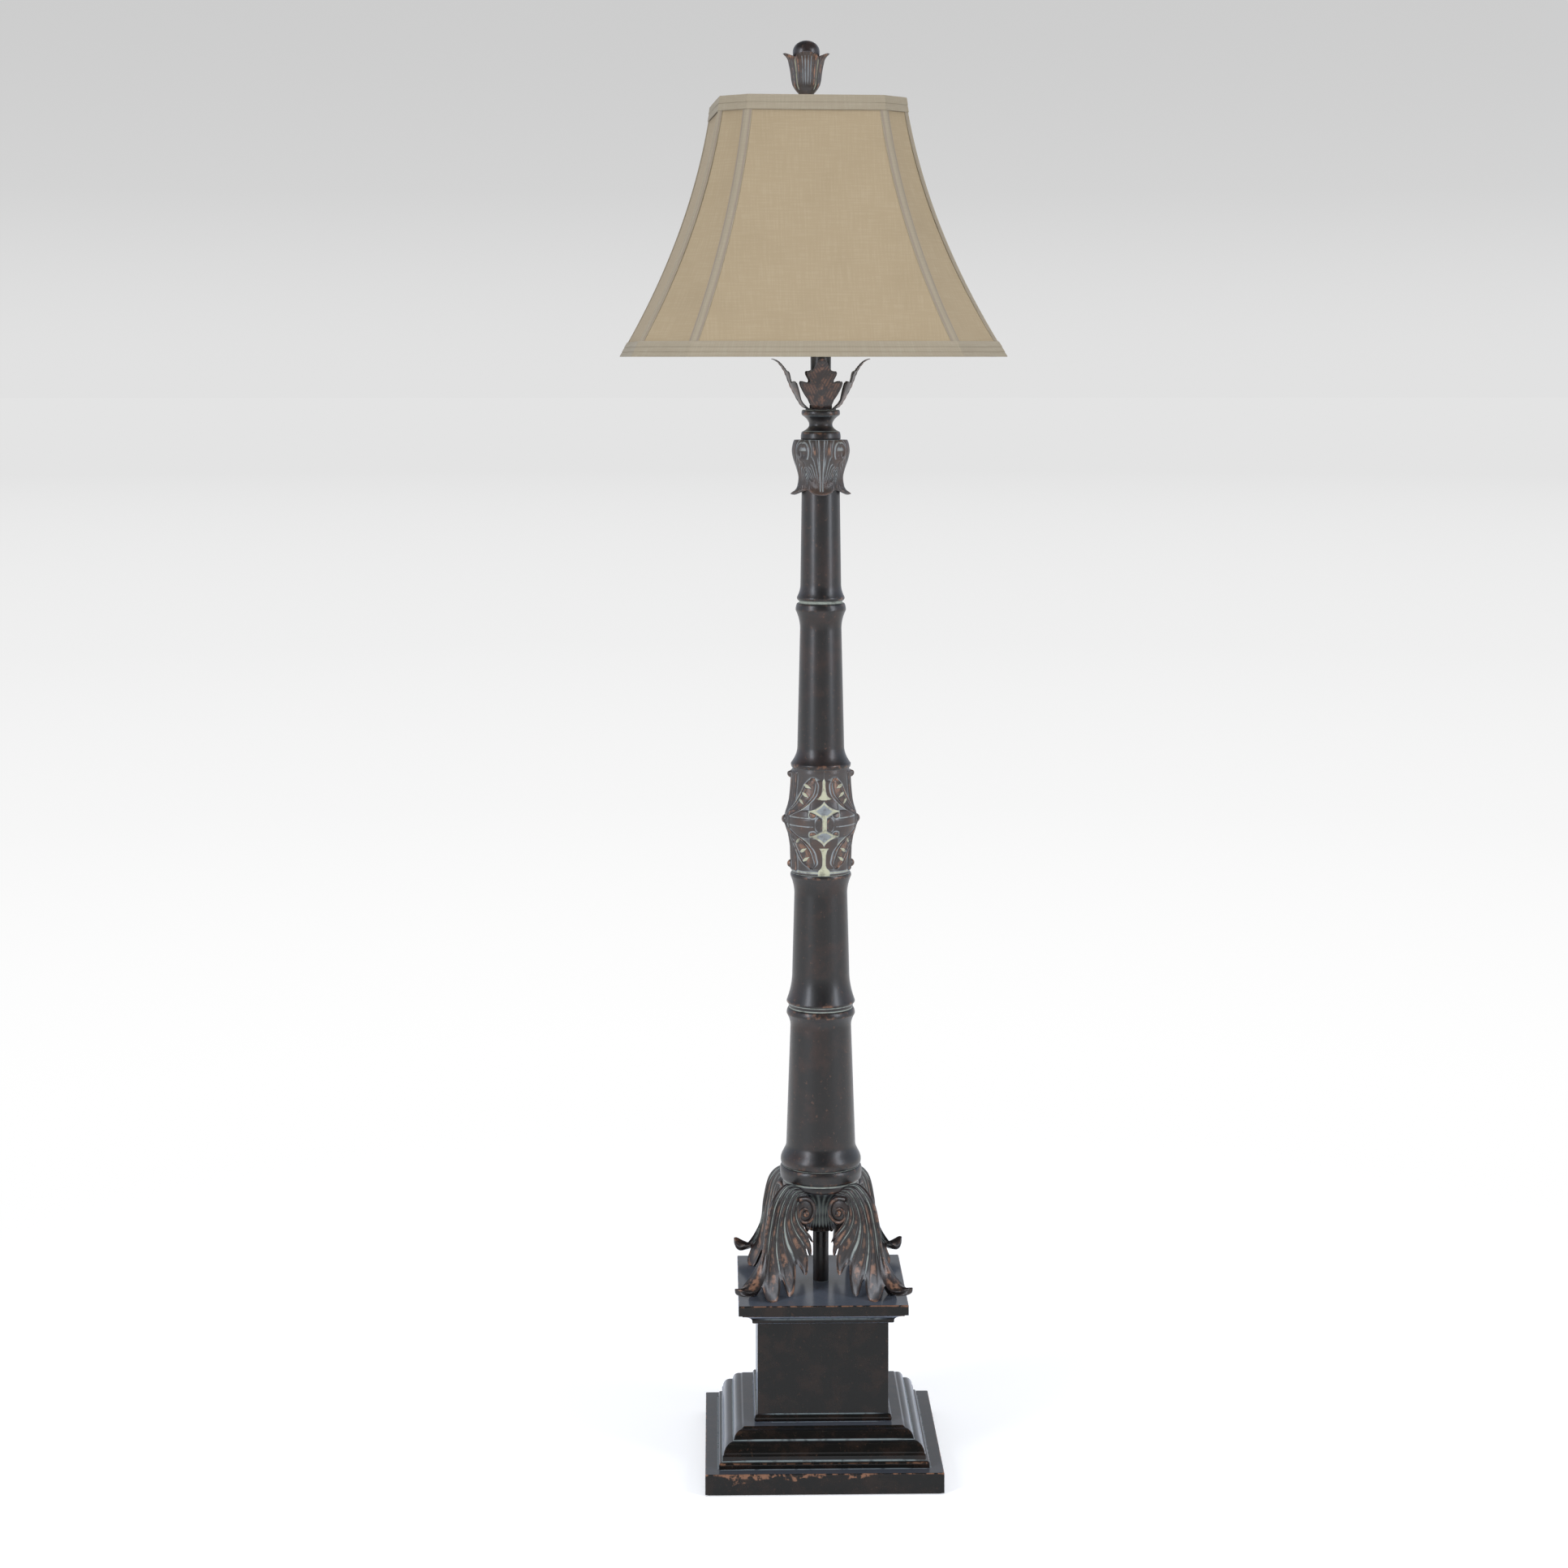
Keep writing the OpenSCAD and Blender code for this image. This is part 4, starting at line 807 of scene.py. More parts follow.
    @staticmethod
    def surface(fan: np.ndarray, u: np.ndarray, w: np.ndarray) -> np.ndarray:
        """Find points on the leaf.

        Args:
            fan: Its ribs, from one inner edge to the other.
            u: Places from the shoulder to the tips.
            w: Places across the leaf.

        Returns:
            The points.
        """
        rib_points = np.stack([along(rib, u) for rib in fan])
        picks, t = key_places(w, len(fan) - 1)
        row, col = np.indices(w.shape)
        return between(*(rib_points[k, row, col] for k in picks), t[..., None])

    def scroll(self) -> Skin:
        """Make the scroll on a leaf's inner edge, in its place: its rolled band, its web and its eye."""
        line = along(self.scroll_band, np.linspace(0, 1, 90))
        path = np.stack([-line[:, 0], np.zeros(len(line)), line[:, 1]], axis=1)
        band = tube(path, np.linspace(3.3, 1.9, len(line)), np.array([0.0, 1.0, 0.0]), depth=1.35)
        web = lathe(*outline_with_relief(
            turning((11.4, -2.2), [(ROUND_OUT, 12.0, -0.6), (ROUND_IN, 11.0, 1.2)]), 0.5, 0.3, 1.0), 40)
        web.relief *= 0
        eye = lathe(*outline_with_relief(
            turning((3.8, -3.0), [(LINE, 3.8, 1.4), (ROUND_IN, 0.4, 4.4)]), 0.5, 0.2, 1.0), 28)
        eye.relief += 0.7
        lying = np.array([[1.0, 0, 0], [0, 0, 1], [0, -1, 0]])
        scroll = band + (web.shifted(1.0, -4.0) + eye).moved(lying)
        return scroll.moved(turn_z(self.scroll_turn), self.scroll_at)

    def build(self) -> None:
        """Make the legs, the hub and the pipe."""
        scroll = self.scroll()
        swap_xy = np.array([[0.0, 1, 0], [1, 0, 0], [0, 0, 1]])
        leg = self.leaf() + scroll + scroll.moved(swap_xy)
        for name, degrees in (("front_left", 180), ("front_right", 270), ("back_right", 0), ("back_left", 90)):
            make_piece(f"leg_{name}_carved", leg.moved(turn_z(degrees), (0, 0, self.foot)),
                       Finish.LEG, "scroll_leg_" + name, sharp=55)
        outline = turning((16.4, 0), [
            (ROUND_OUT, 17.6, 2.5), (FLARE_IN, 13.5, 16), (LINE, 13.5, 20), (FLARE_OUT, 36, self.hub_h)])
        hub = lathe(*outline_with_relief(outline, 1.0, 0.5, 4.0), 192,
                    lambda angle: 0.55 * (np.abs(np.cos(np.radians(angle * 12))) - 0.6))
        hub.relief -= 0.25
        make_piece("hub_fluted", hub.shifted(z=self.foot + self.hub_top - self.hub_h), Finish.LEG,
                   "scroll_hub")
        pipe = lathe(*outline_with_relief(np.array([[9.1, 0], [9.1, 61.0]]), 2.0, 0.5, 4.0), 64)
        make_piece("centre_pipe_painted", pipe.shifted(z=self.foot), Finish.BRONZE, "centre_pipe")


# ---------- column ----------


@dataclass
class Column:
    """The turned sections, the carved knop, the capital and the neck, from the legs up to the lamp holder."""

    ring_z: float = 311.0
    lower_z: float = 338.0
    middle_z: float = 521.0
    knop_z: float = 679.0
    upper_z: float = 801.0
    top_z: float = 993.5
    spool_z: float = 1184.0
    neck_z: float = 1219.0
    capital_h: float = 67.0
    knop_relief: float = 2.1
    # The knop's body as radius and height.
    knop_body: tuple[tuple[float, float], ...] = (
        (33.6, 0), (34.0, 4), (33.6, 10), (34.0, 18), (34.3, 30), (35.3, 37), (36.8, 45), (38.8, 51), (40.4, 58),
        (40.5, 65), (39.4, 71), (37.1, 78), (35.5, 85), (34.4, 95), (33.7, 104), (33.4, 112), (33.6, 118),
        (33.2, 122))
    # The capital's outside as height, radius on a leaf and radius between leaves, from the top to the curled tips.
    capital_rise: tuple[tuple[float, float, float], ...] = (
        (67, 30.5, 29), (63, 32.2, 30), (54, 33.4, 31), (44, 31.6, 29), (34, 28.2, 26.5), (24, 25.8, 24.6),
        (15, 26.6, 24), (9, 29, 23.6), (4.5, 34.5, 23.2), (3, 34.2, 22.9), (2.6, 30, 22.8), (5, 24.4, 22.8),
        (7, 23, 22.8))
    # A sheet leaf's middle line as distance out and height, and its half width at shares of its length.
    sheet_line: tuple[tuple[float, float], ...] = (
        (15, 0.9), (21, 3.5), (25.5, 9.5), (30.5, 18.5), (35, 27), (38.5, 36), (42, 44.5), (46, 51), (51, 56.5),
        (57, 59.5))
    sheet_lobes: tuple[tuple[float, float], ...] = (
        (0, 11), (0.12, 12.5), (0.2, 14.5), (0.27, 20), (0.32, 23.3), (0.36, 24.6), (0.4, 23.8), (0.43, 20.5),
        (0.45, 15.5), (0.47, 13.8), (0.5, 14), (0.55, 17), (0.58, 17.6), (0.61, 16.5), (0.635, 12.8), (0.66, 10.8),
        (0.72, 8.8), (0.8, 7), (0.88, 5), (0.95, 2.8), (1, 0.6))

    def build(self) -> None:
        """Make the turned pieces, the carving and the neck."""
        lower_h, middle_h = self.middle_z - self.lower_z, self.knop_z - self.middle_z
        upper_h, top_h = self.top_z - self.upper_z, self.spool_z - self.top_z
        shaft_h = top_h - 53
        # Each turning's foot, outline and the heights of the fine grooves where wash stayed.
        for node, foot, start, steps, grooves in (
            ("ring_turning", self.ring_z, 37, [
                (ROUND_OUT, 44.4, 4), (ROUND_IN, 44, 8.5), (LINE, 43.6, 10.5), (ROUND_OUT, 47.2, 13.5),
                (LINE, 47.9, 20.5), (ROUND_IN, 45.2, 27)], (9.6,)),
            ("column_lower", self.lower_z, 44.8, [
                (ROUND_OUT, 46.9, 6), (EASE, 40.3, 25), (LINE, 35.5, lower_h - 21), (FLARE_OUT, 40, lower_h - 7),
                (ROUND_IN, 36.9, lower_h)], ()),
            ("column_middle", self.middle_z, 37.2, [
                (LINE, 38, 5), (ROUND_OUT, 40, 7.8), (FLARE_IN, 33.4, 42), (LINE, 31, middle_h - 25),
                (FLARE_OUT, 35.7, middle_h - 4), (ROUND_IN, 34.4, middle_h)], (5.2,)),
            ("column_upper", self.upper_z, 33.2, [
                (ROUND_OUT, 35.2, 5), (FLARE_IN, 27.4, 25), (LINE, 24.3, upper_h - 30),
                (FLARE_OUT, 29.5, upper_h - 8.5), (ROUND_IN, 26.6, upper_h)], ()),
            ("column_top", self.top_z, 25.3, [
                (LINE, 25.5, 2.5), (ROUND_OUT, 28.1, 6.2), (FLARE_IN, 23.9, 21.5), (LINE, 22.3, shaft_h),
                (LINE, 20.6, shaft_h), (LINE, 20.6, top_h)], (2.6,)),
            ("neck_spool", self.spool_z, 22.5, [
                (ROUND_OUT, 23.4, 2.5), (ROUND_IN, 21.8, 9.4), (FLARE_IN, 13.6, 17.5), (FLARE_OUT, 20.8, 28),
                (LINE, 21.4, 28.4), (ROUND_OUT, 22.6, 31), (ROUND_IN, 21.2, 35)], (9.8, 28.2)),
        ):
            outline = turning((start, 0), steps)
            skin = lathe(*outline_with_relief(outline, 0.7, 0.5, 3.0, (1.0, 1.0), grooves, -0.25))
            make_piece(node + "_turned", skin.shifted(z=foot), Finish.BRONZE, node)
        self.build_knop()
        self.build_capital()
        self.build_rosette()
        neck = lathe(*outline_with_relief(
            turning((13.2, 0), [(LINE, 13.2, 4), (LINE, 12.0, 5), (LINE, 12.0, 76.4)]), 1.0, 0.4, 3.0), 72)
        make_piece("neck_tube_painted", neck.shifted(z=self.neck_z + 1.6), Finish.BRONZE, "neck_tube")

    def knop_carving(self, angle: np.ndarray, z: np.ndarray) -> tuple[np.ndarray, np.ndarray]:
        """Find the height of the knop's carving over its ground.

        The design is the same on the front and the back, and each half mirrors the other. Two leaves sweep up and
        two down from a boss on each side, and arms with curled ends reach in from the bosses. What they leave
        between them is a sunk stem that opens into four-pointed stars over and under the middle.

        Args:
            angle: Degrees from +X.
            z: Heights over the knop's foot.

        Returns:
            The carving's height in mm, and how much wash each place holds.
        """
        # a is degrees from the stem, x the same in mm, and v the height over the knop's middle.
        mm_per_degree = 0.63
        face = (angle + 90.0) % 180.0
        a = np.minimum(face, 180.0 - face)
        x, v = a * mm_per_degree, z - 62.3
        leaves, hollows, rims, flesh = (np.zeros_like(x) for _ in range(4))
        # Each leaf: which way it goes, how tall it is, its middle and half width in degrees, and its pierced darts.
        for sign, tall, keys, darts in (
            (1, 51, ((84, 3), (74, 8), (60, 13), (48, 15), (39, 17), (32, 17.5), (28, 16), (25, 13), (22, 4)),
             ((33, 41, -0.4), (37, 31, -0.6), (45, 23, -0.9))),
            (-1, 55, ((86, 2), (80, 6), (70, 12), (57, 17), (47, 20), (40, 21), (34.5, 19), (29, 15), (24, 2)),
             ((42, 33, -0.5), (36, 43, -0.6), (53, 22, -0.8))),
        ):
            share = np.clip(sign * v / tall, 0, 1)
            shape = along(keys, share)
            half = np.maximum(shape[..., 1], 0.5)
            side, half = np.abs(a - shape[..., 0]) / half, half * mm_per_degree
            here = (sign * v > -1) & (share < 0.995)
            leaf = soft((1 - side) * half, 1.6) * here
            ridges = bell((side - 0.84) * half, 0.9) + 0.8 * bell((side - 0.52) * half, 0.8)
            leaves = np.maximum(leaves, leaf * (0.4 + 1.15 * ridges * (share > 0.06)))
            flesh = np.maximum(flesh, leaf * soft(0.42 - side, 0.3))
            for dart_a, dart_v, slope in darts:
                dx, dv = x - dart_a * mm_per_degree, v - sign * dart_v
                lengthwise, crosswise = dx - dv * slope * sign, dv + dx * slope * sign
                width = 1.0 + 0.22 * np.clip(lengthwise + 5, 0, 9)
                dart = 1 - np.abs(lengthwise) / 6.4 - (crosswise / width) ** 2
                hollows = np.maximum(hollows, soft(dart * 3, 1.6))
            grooves = bell((side - 0.68) * half, 1.0) * here * (share > 0.08) * (share < 0.95)
            edges = bell((side - 1.05) * half, 1.1) * here * (share > 0.1)
            rims = np.maximum.reduce([rims, 0.75 * grooves, edges])
        # Arms across the middle, ending in curls that face the stem.
        arms = 0.75 * soft(15.5 - np.abs(v + 2), 2.0)
        for curl_v in (9.5, -14.5):
            away = np.hypot(x - 12.5, v - curl_v)
            arms = np.maximum(arms, 1.5 * soft(3.8 - away, 1.6)) - 0.7 * bell(away - 4.9, 0.8) * (x > 6)
            rims = np.maximum(rims, bell(away - 4.6, 0.9) * (x > 8))
        ring = np.hypot(x - 5.5, (v + 2) * 0.55)
        arms = arms + 0.5 * bell(ring - 3.4, 0.9)
        arms = arms - 0.5 * bell(v - 5.2, 0.8) * (x > 14) - 0.4 * bell(v + 4.5, 0.7) * (x > 10)
        bars = 0.7 * (bell(v - 5.2, 0.9) + bell(v + 4.5, 0.9)) * (x > 12) * (a < 80)
        rims = np.maximum.reduce([rims, bell(ring - 4.6, 0.9) * (x < 10), bars])
        filled = 0.7 * soft(26 - a, 4.0) * soft(48 - v, 2.0) * soft(v + 54, 2.0)
        height = np.maximum.reduce([leaves * (1 - 0.95 * hollows), arms * (np.abs(v + 2) < 18), filled])
        # The sunk stem and its openings, as half widths in mm.
        top = np.interp(v, [25.6, 27, 29, 32, 36, 42, 47, 50.5], [0, 9.5, 6.0, 3.4, 2.3, 1.7, 1.9, 0])
        low = np.interp(-v, [28.4, 30, 33, 38, 44, 50, 53, 56, 58], [0, 5.8, 3.6, 2.3, 2.0, 2.2, 3.4, 6.5, 7.5])
        sunk = np.maximum.reduce([
            soft(top - x, 1.1) * (v > 23), soft(low - x, 1.1) * (v < -30), soft(2.3 - x, 0.9) * (v < 9) * (v > -12)])
        held = sunk.copy()
        for star_v, up, down in ((13.0, 12.0, 11.0), (-16.2, 10.0, 12.0)):
            star = 1 - (x / 19.0) ** 0.7 - (np.abs(v - star_v) / np.where(v > star_v, up, down)) ** 0.7
            sunk = np.maximum(sunk, soft(star * 5, 1.3))
            held = np.maximum(held, soft(star * 5, 1.3) * (1 - 0.6 * soft(star - 0.16, 0.2)))
        strap = soft(a - 66 + 0.12 * np.abs(v), 3.0) * (0.75 + 0.6 * np.cos(np.radians((a - 70) * 26)) ** 2)
        height = np.maximum(height * (1 - sunk), strap)
        # The bosses on the strap: height, radius and how far each stands out.
        for at, size, rise in ((62.3, 5.6, 4.0), (10.0, 5.0, 4.2), (115.0, 5.0, 4.2)):
            ball = np.clip(1 - (((90 - a) * 0.7) ** 2 + (z - at) ** 2) / size**2, 0, 1)
            height = np.maximum(height, rise * np.sqrt(ball))
        ends = np.clip(np.minimum(z - 1.5, 120.5 - z) / 3, 0, 1)
        held = np.maximum.reduce([held, 0.9 * hollows, 0.5 * rims, 0.8 * bell(z - 3.4, 1.5)])
        return height * ends * self.knop_relief / 1.5, held - 0.55 * flesh * (1 - hollows)

    def build_knop(self) -> None:
        """Make the carved knop."""
        turned, margin = 4.3, 24
        z = np.linspace(0, self.knop_body[-1][1], 230)[:, None]
        radius = np.interp(z, [p[1] for p in self.knop_body], [p[0] for p in self.knop_body])
        angle = angles(480)
        carving, held = self.knop_carving(*np.broadcast_arrays(angle - turned, z))
        wrapped = np.concatenate([carving[:, -margin:], carving, carving[:, :margin]], axis=1)
        around = blurred(blurred(wrapped, 6.0).T, 6.0).T[:, margin:-margin]
        relief = np.clip((carving - around) * 0.6, -0.3, 1) + 0.05 - 0.85 * held
        knop = ring_skin(polar(radius + carving, angle, z), relief).shifted(z=self.knop_z)
        make_piece("knop_carved", knop, Finish.CARVED, "carved_knop", sharp=70)

    def build_capital(self) -> None:
        """Make the capital: four leaves that hang down and curl out, with ears that curl in at their tops."""
        share = np.linspace(0, 1, 96)[:, None]
        z, out, gap = np.moveaxis(along(self.capital_rise, share), -1, 0)
        angle = angles(288)
        leaf = np.abs(np.cos(np.radians(2 * angle))) ** 1.6
        high = ramp(z, 28, 32)
        radius = high * (out - 2 * (1 - leaf)) + (1 - high) * (gap + (out - gap) * leaf)
        height = z + (z < 10) * 6.0 * (1 - leaf)
        # Lines fan up from the leaf's foot and bend round a curl at each shoulder; widths here are in mm.
        side = np.abs((angle + 45) % 90 - 45)
        mm_per_degree = 0.53
        curl = np.hypot((side - 41) * mm_per_degree / 6.2, (z - 53) / 10.0)
        spread = 3.2 + 0.17 * np.clip(z - 10, 0, 60) + 2.5 * np.clip(2.2 - curl, 0, 1)
        flute = np.abs((side / spread + 0.5) % 1 - 0.5) * spread * mm_per_degree
        rib = 2.4 + 0.06 * z
        cuts = bell(flute, 0.65) * (side > rib + 2.4) * (curl > 1.75) * ramp(z, 14, 26)
        cuts = np.maximum(cuts, bell((side - rib) * 0.5, 0.8) * (z > 7))
        for ring in (1.1, 1.65):
            cuts = np.maximum(cuts, bell((curl - ring) * 7.5, 0.8) * (z > 40 + 4 * ring))
        pit = np.exp(-((curl / 0.62) ** 4))
        ears = 1.5 * bell(curl - 0.95, 0.3) - 1.6 * pit
        valley = bell(side - 45, 1.8) * (curl > 1.2)
        swell = 0.7 * np.cos(2 * math.pi * side / spread) * (side > rib) * (curl > 1.75)
        face = share < 0.72
        carving = face * (0.5 * (side < rib) - 0.7 * cuts - 0.4 * swell + ears - 1.4 * valley)
        held = face * (0.62 * cuts + 0.6 * pit * (z > 55) + 0.3 * valley)
        relief = 0.05 + 0.5 * bell(z - 54, 9) * bell(side - 13, 9) + 0.3 * (np.abs(share - 0.68) < 0.04) - held
        # The bore, down from the top to where the leaves' undersides meet it.
        bore = np.array([(20.9, self.capital_h), (20.9, 14.0), (22.7, 14.0)])
        rings = np.concatenate([polar(radius + carving, angle, height)[::-1], polar(bore[:, :1], angle, bore[:, 1:])])
        relief = np.concatenate([relief[::-1], np.zeros((len(bore), len(angle)))])
        skin = ring_skin(rings, relief, closed=True).shifted(z=self.spool_z - self.capital_h)
        make_piece("capital_carved", skin, Finish.CARVED, "capital", sharp=60)

    def build_rosette(self) -> None:
        """Make the four sheet-metal leaves over the spool, on their collar."""
        thick, sweep = 1.1, 10.5
        u = np.linspace(0, 1, 110)[:, None]
        middle = along(self.sheet_line, u[:, 0])
        y = np.interp(u, *zip(*self.sheet_lobes)) * np.linspace(-1, 1, 29)
        crease = 1.3 * bell(y, 1.6)
        veins = 0.35 * np.cos(np.abs(y) * 1.4 - u * 70)
        x = middle[:, :1] - 0.0035 * y**2 + crease + 0.5 * veins
        # The lobes sweep up, and more so the further they reach.
        z = middle[:, 1:] + sweep * (y / 25) ** 2 * np.clip(12 * u, 0, 1)
        outer = np.stack([x, y, z], axis=-1)
        edge = np.abs(np.linspace(-1, 1, 29)) > 0.9
        relief = 0.25 + 0.5 * veins + 0.4 * crease - 0.35 * edge
        leaf = sheet_skin(outer - np.array([thick, 0.0, -thick / 3]), outer, 0 * relief)
        leaf.relief[relief.size :] = relief.reshape(-1)
        skin = lathe(*outline_with_relief(
            turning((17.4, 0), [(ROUND_OUT, 18, 0.8), (ROUND_IN, 16.5, 1.6)]), 0.3, 0.1, 1.0), 72)
        for degrees in (0, 90, 180, 270):
            skin = skin + leaf.moved(turn_z(degrees))
        make_piece("rosette_leaves", skin.shifted(z=self.neck_z), Finish.LEAF, "leaf_rosette", sharp=60)


# ---------- finial ----------


@dataclass
class Finial:
    """The tulip cup with four petals and the smooth bud that stands in it."""

    axis_x: float = -17.0
    foot: float = 1574.6
    floor_z: float = 40.0
    wall: float = 1.8
    bud_r: float = 15.8
    tip: float = 76.4
    # The cup's outside as height, radius on a petal and radius between petals.
    rise: tuple[tuple[float, float, float], ...] = (
        (0, 8, 8), (12, 8.4, 8.4), (17, 11.8, 11.6), (20, 14, 13.6), (24, 16, 15.4), (30, 17.1, 16.4),
        (40, 18.4, 17.6), (48, 20, 18.8), (55, 22, 19.5), (61, 27.3, 19.4))

    def build(self) -> None:
        """Make the cup and the bud."""
        line = along(self.rise, np.linspace(0, 1, 76))
        z, out, gap = (line[:, k][:, None] for k in range(3))
        angle = angles(240)
        petal = np.abs(np.cos(np.radians(2 * angle))) ** 1.2
        off = np.abs((angle + 45) % 90 - 45)
        veins = 0.45 * np.cos(np.radians(off * 36)) * ramp(z, 20, 30)
        carving = ramp(z, 17, 21) * (veins - 1.3 * bell(off - 45, 3.0) + 0.7 * bell(off - 30, 8))
        radius = gap + (out - gap) * petal + carving
        height = z - np.clip(z - 45, 0, None) / 3 * (1 - petal)
        keep = line[:, 0] > self.floor_z
        inner_r = (radius - self.wall - carving * 0.6)[keep][::-1]
        inner_z = height[keep][::-1]
        inner_z[0] += 0.6
        rings = np.concatenate([polar(radius, angle, height), polar(inner_r, angle, inner_z)])
        relief = np.concatenate([carving * 0.9 + 0.5 * (z > 57) - 0.05, np.full(inner_r.shape, -0.2)])
        self.place("finial_cup_carved", ring_skin(rings, relief), 0, "carved_bronze", Finish.CARVED, "finial_cup", 60)
        bud = lathe(*outline_with_relief(turning((13, 0), [
            (EASE, self.bud_r, self.tip - self.floor_z - self.bud_r * 0.85),
            (ROUND_IN, 0.3, self.tip - self.floor_z)]), 1.0, 0.4, 4.0), 96)
        bud.relief = np.minimum(bud.relief, 0.1)
        self.place("finial_bud_turned", bud, self.floor_z, "bronze", Finish.BRONZE, "finial_bud")

    def place(self, name: str, skin: Skin, z: float, slot: str, finish: Finish, node: str, sharp: float = 38.0) -> None:
        """Make a piece of the finial, z over its foot."""
        make_piece(name, skin.shifted(self.axis_x, 0, self.foot + z), finish, node, "finial", sharp)


# ---------- shade ----------


@dataclass
class BellShade:
    """The cut-corner bell shade: eight linen panels, ribbons on its seams and folded bindings."""

    axis_x: float = -17.0
    turned: float = 4.2
    top_z: float = 1578.7
    height: float = 297.7
    top_half: float = 106.0
    foot_half: float = 211.0
    corner_share: float = 0.724
    slope: float = 0.39
    bow: float = 1.6
    cloth: float = 0.8
    ribbon_w: float = 12.0
    binding_h: float = 17.5
    names: tuple[str, ...] = ("front", "front_right", "right", "back_right", "back", "back_left", "left", "front_left")

    def plan(self, k: int) -> np.ndarray:
        """Give a corner of the plan for a half width of 1, counted anticlockwise from the front's left end."""
        b = self.corner_share
        return np.array([(-b, -1), (b, -1), (1, -b), (1, b), (b, 1), (-b, 1), (-1, b), (-1, -b)][k % 8])

    def corner(self, k: int, t: np.ndarray, lift: np.ndarray | float) -> np.ndarray:
        """Follow a corner of the plan down the shade, before the shade is turned on its stud.

        Args:
            k: The corner, anticlockwise from the front's left end.
            t: The share of the height from the top.
            lift: How far it lies outside the outline.

        Returns:
            Its points.
        """
        half = self.top_half + (self.foot_half - self.top_half) * (self.slope * t + (1 - self.slope) * t**2) + lift
        x, y = self.plan(k)
        return np.stack([half * x, half * y, self.top_z - self.height * t], axis=-1)

    def make_cloth(self, name: str, skin: Skin, slot: str, finish: Finish, node: str, across: np.ndarray,
                   down: np.ndarray, stitch: np.ndarray | None = None) -> bpy.types.Object:
        """Make a piece of cloth, hung on the stud, that knows where each point lies on the flat cloth.

        Args:
            name: The piece's name.
            skin: Its mesh, before the shade is turned on its stud.
            slot: Not used.
            finish: Its finish.
            node: The node that it stands for.
            across: Each point's place across the cloth, in mm.
            down: Each point's place down the cloth, in mm.
            stitch: How much of a stitch each point shows.

        Returns:
            The piece.
        """
        piece = make_piece(name, skin.moved(turn_z(self.turned), (self.axis_x, 0, 0)), finish, node, "shade")
        mesh = piece.data
        corners = np.empty(len(mesh.loops), dtype=np.int64)
        mesh.loops.foreach_get("vertex_index", corners)
        flat = np.stack([across.reshape(-1), down.reshape(-1)], axis=1)[corners] * MM
        mesh.uv_layers.new(name="cloth").data.foreach_set("uv", flat.astype(np.float32).reshape(-1))
        values = np.zeros(len(mesh.vertices)) if stitch is None else stitch.reshape(-1)
        mesh.attributes.new("stitch", "FLOAT", "POINT").data.foreach_set("value", values.astype(np.float32))
        return piece

    def panel(self, k: int) -> None:
        """Make one panel of stretched linen, on side k of the plan."""
        kind, cols = ("corner", 14) if k % 2 else ("panel", 36)
        t = np.linspace(0, 1, 61)
        s = np.linspace(0, 1, cols + 1)[:, None]
        outward = unit(np.append(self.plan(k) + self.plan(k + 1), 0.0))
        sag = self.bow * 4 * s * (1 - s) * np.sin(math.pi * t)[:, None, None] * outward
        outer, inner = (
            self.corner(k, t, -inset)[:, None] * (1 - s) + self.corner(k + 1, t, -inset)[:, None] * s - sag
            for inset in (0.1, 0.1 + self.cloth))
        width = np.linalg.norm(outer[:, -1] - outer[:, 0], axis=1)
        slant = way_along(outer[:, cols // 2])
        across = width[:, None] * (s[:, 0] - 0.5) + 400.0 * k
        down = np.broadcast_to(slant[:, None], across.shape)
        skin = sheet_skin(outer[::-1], inner[::-1], np.zeros(across.shape))
        name = f"{kind}_{self.names[k]}"
        panel = self.make_cloth(f"linen_{name}", skin, "shade_linen", Finish.LINEN, f"shade_{name}",
                                np.tile(across[::-1], (2, 1)), np.tile(down[::-1], (2, 1)))

    def ribbon(self, k: int) -> tuple[Skin, np.ndarray, np.ndarray, np.ndarray]:
        """Make the ribbon that is sewn over one seam.

        Args:
            k: The plan's corner that it covers.

        Returns:
            Its skin before hanging, and where its points lie across and down the cloth and are stitched.
        """
        t = np.linspace(0, 1, 91)
        offsets = np.array([-1.0, -0.93, -0.8, -0.4, -0.06, 0.06, 0.4, 0.8, 0.93, 1.0]) * self.ribbon_w / 2
        lifts = (0.15, 0.6, 0.75, 0.75, 0.7, 0.7, 0.75, 0.75, 0.6, 0.15)
        faces: tuple[list[np.ndarray], list[np.ndarray]] = ([], [])
        for offset, lift in zip(offsets, lifts):
            for face, rise in zip(faces, (0.05 + lift, 0.05)):
                here = self.corner(k, t, rise)
                neighbour = self.corner(k + (1 if offset > 0 else 7), t, rise)
                face.append(here + unit(neighbour - here) * abs(offset))
        outer, inner = (np.stack(face, axis=1) for face in faces)
        across = np.broadcast_to(offsets, outer.shape[:2])
        down = np.broadcast_to(way_along(outer[:, 0])[::-1, None], outer.shape[:2])
        stitch = 1.0 * (np.abs(np.abs(across) - 0.8 * self.ribbon_w / 2) < 0.5)
        skin = sheet_skin(outer[::-1], inner[::-1], np.zeros(across.shape))
        return skin, np.tile(across, (2, 1)), np.tile(down, (2, 1)), np.concatenate([stitch, 0 * stitch])

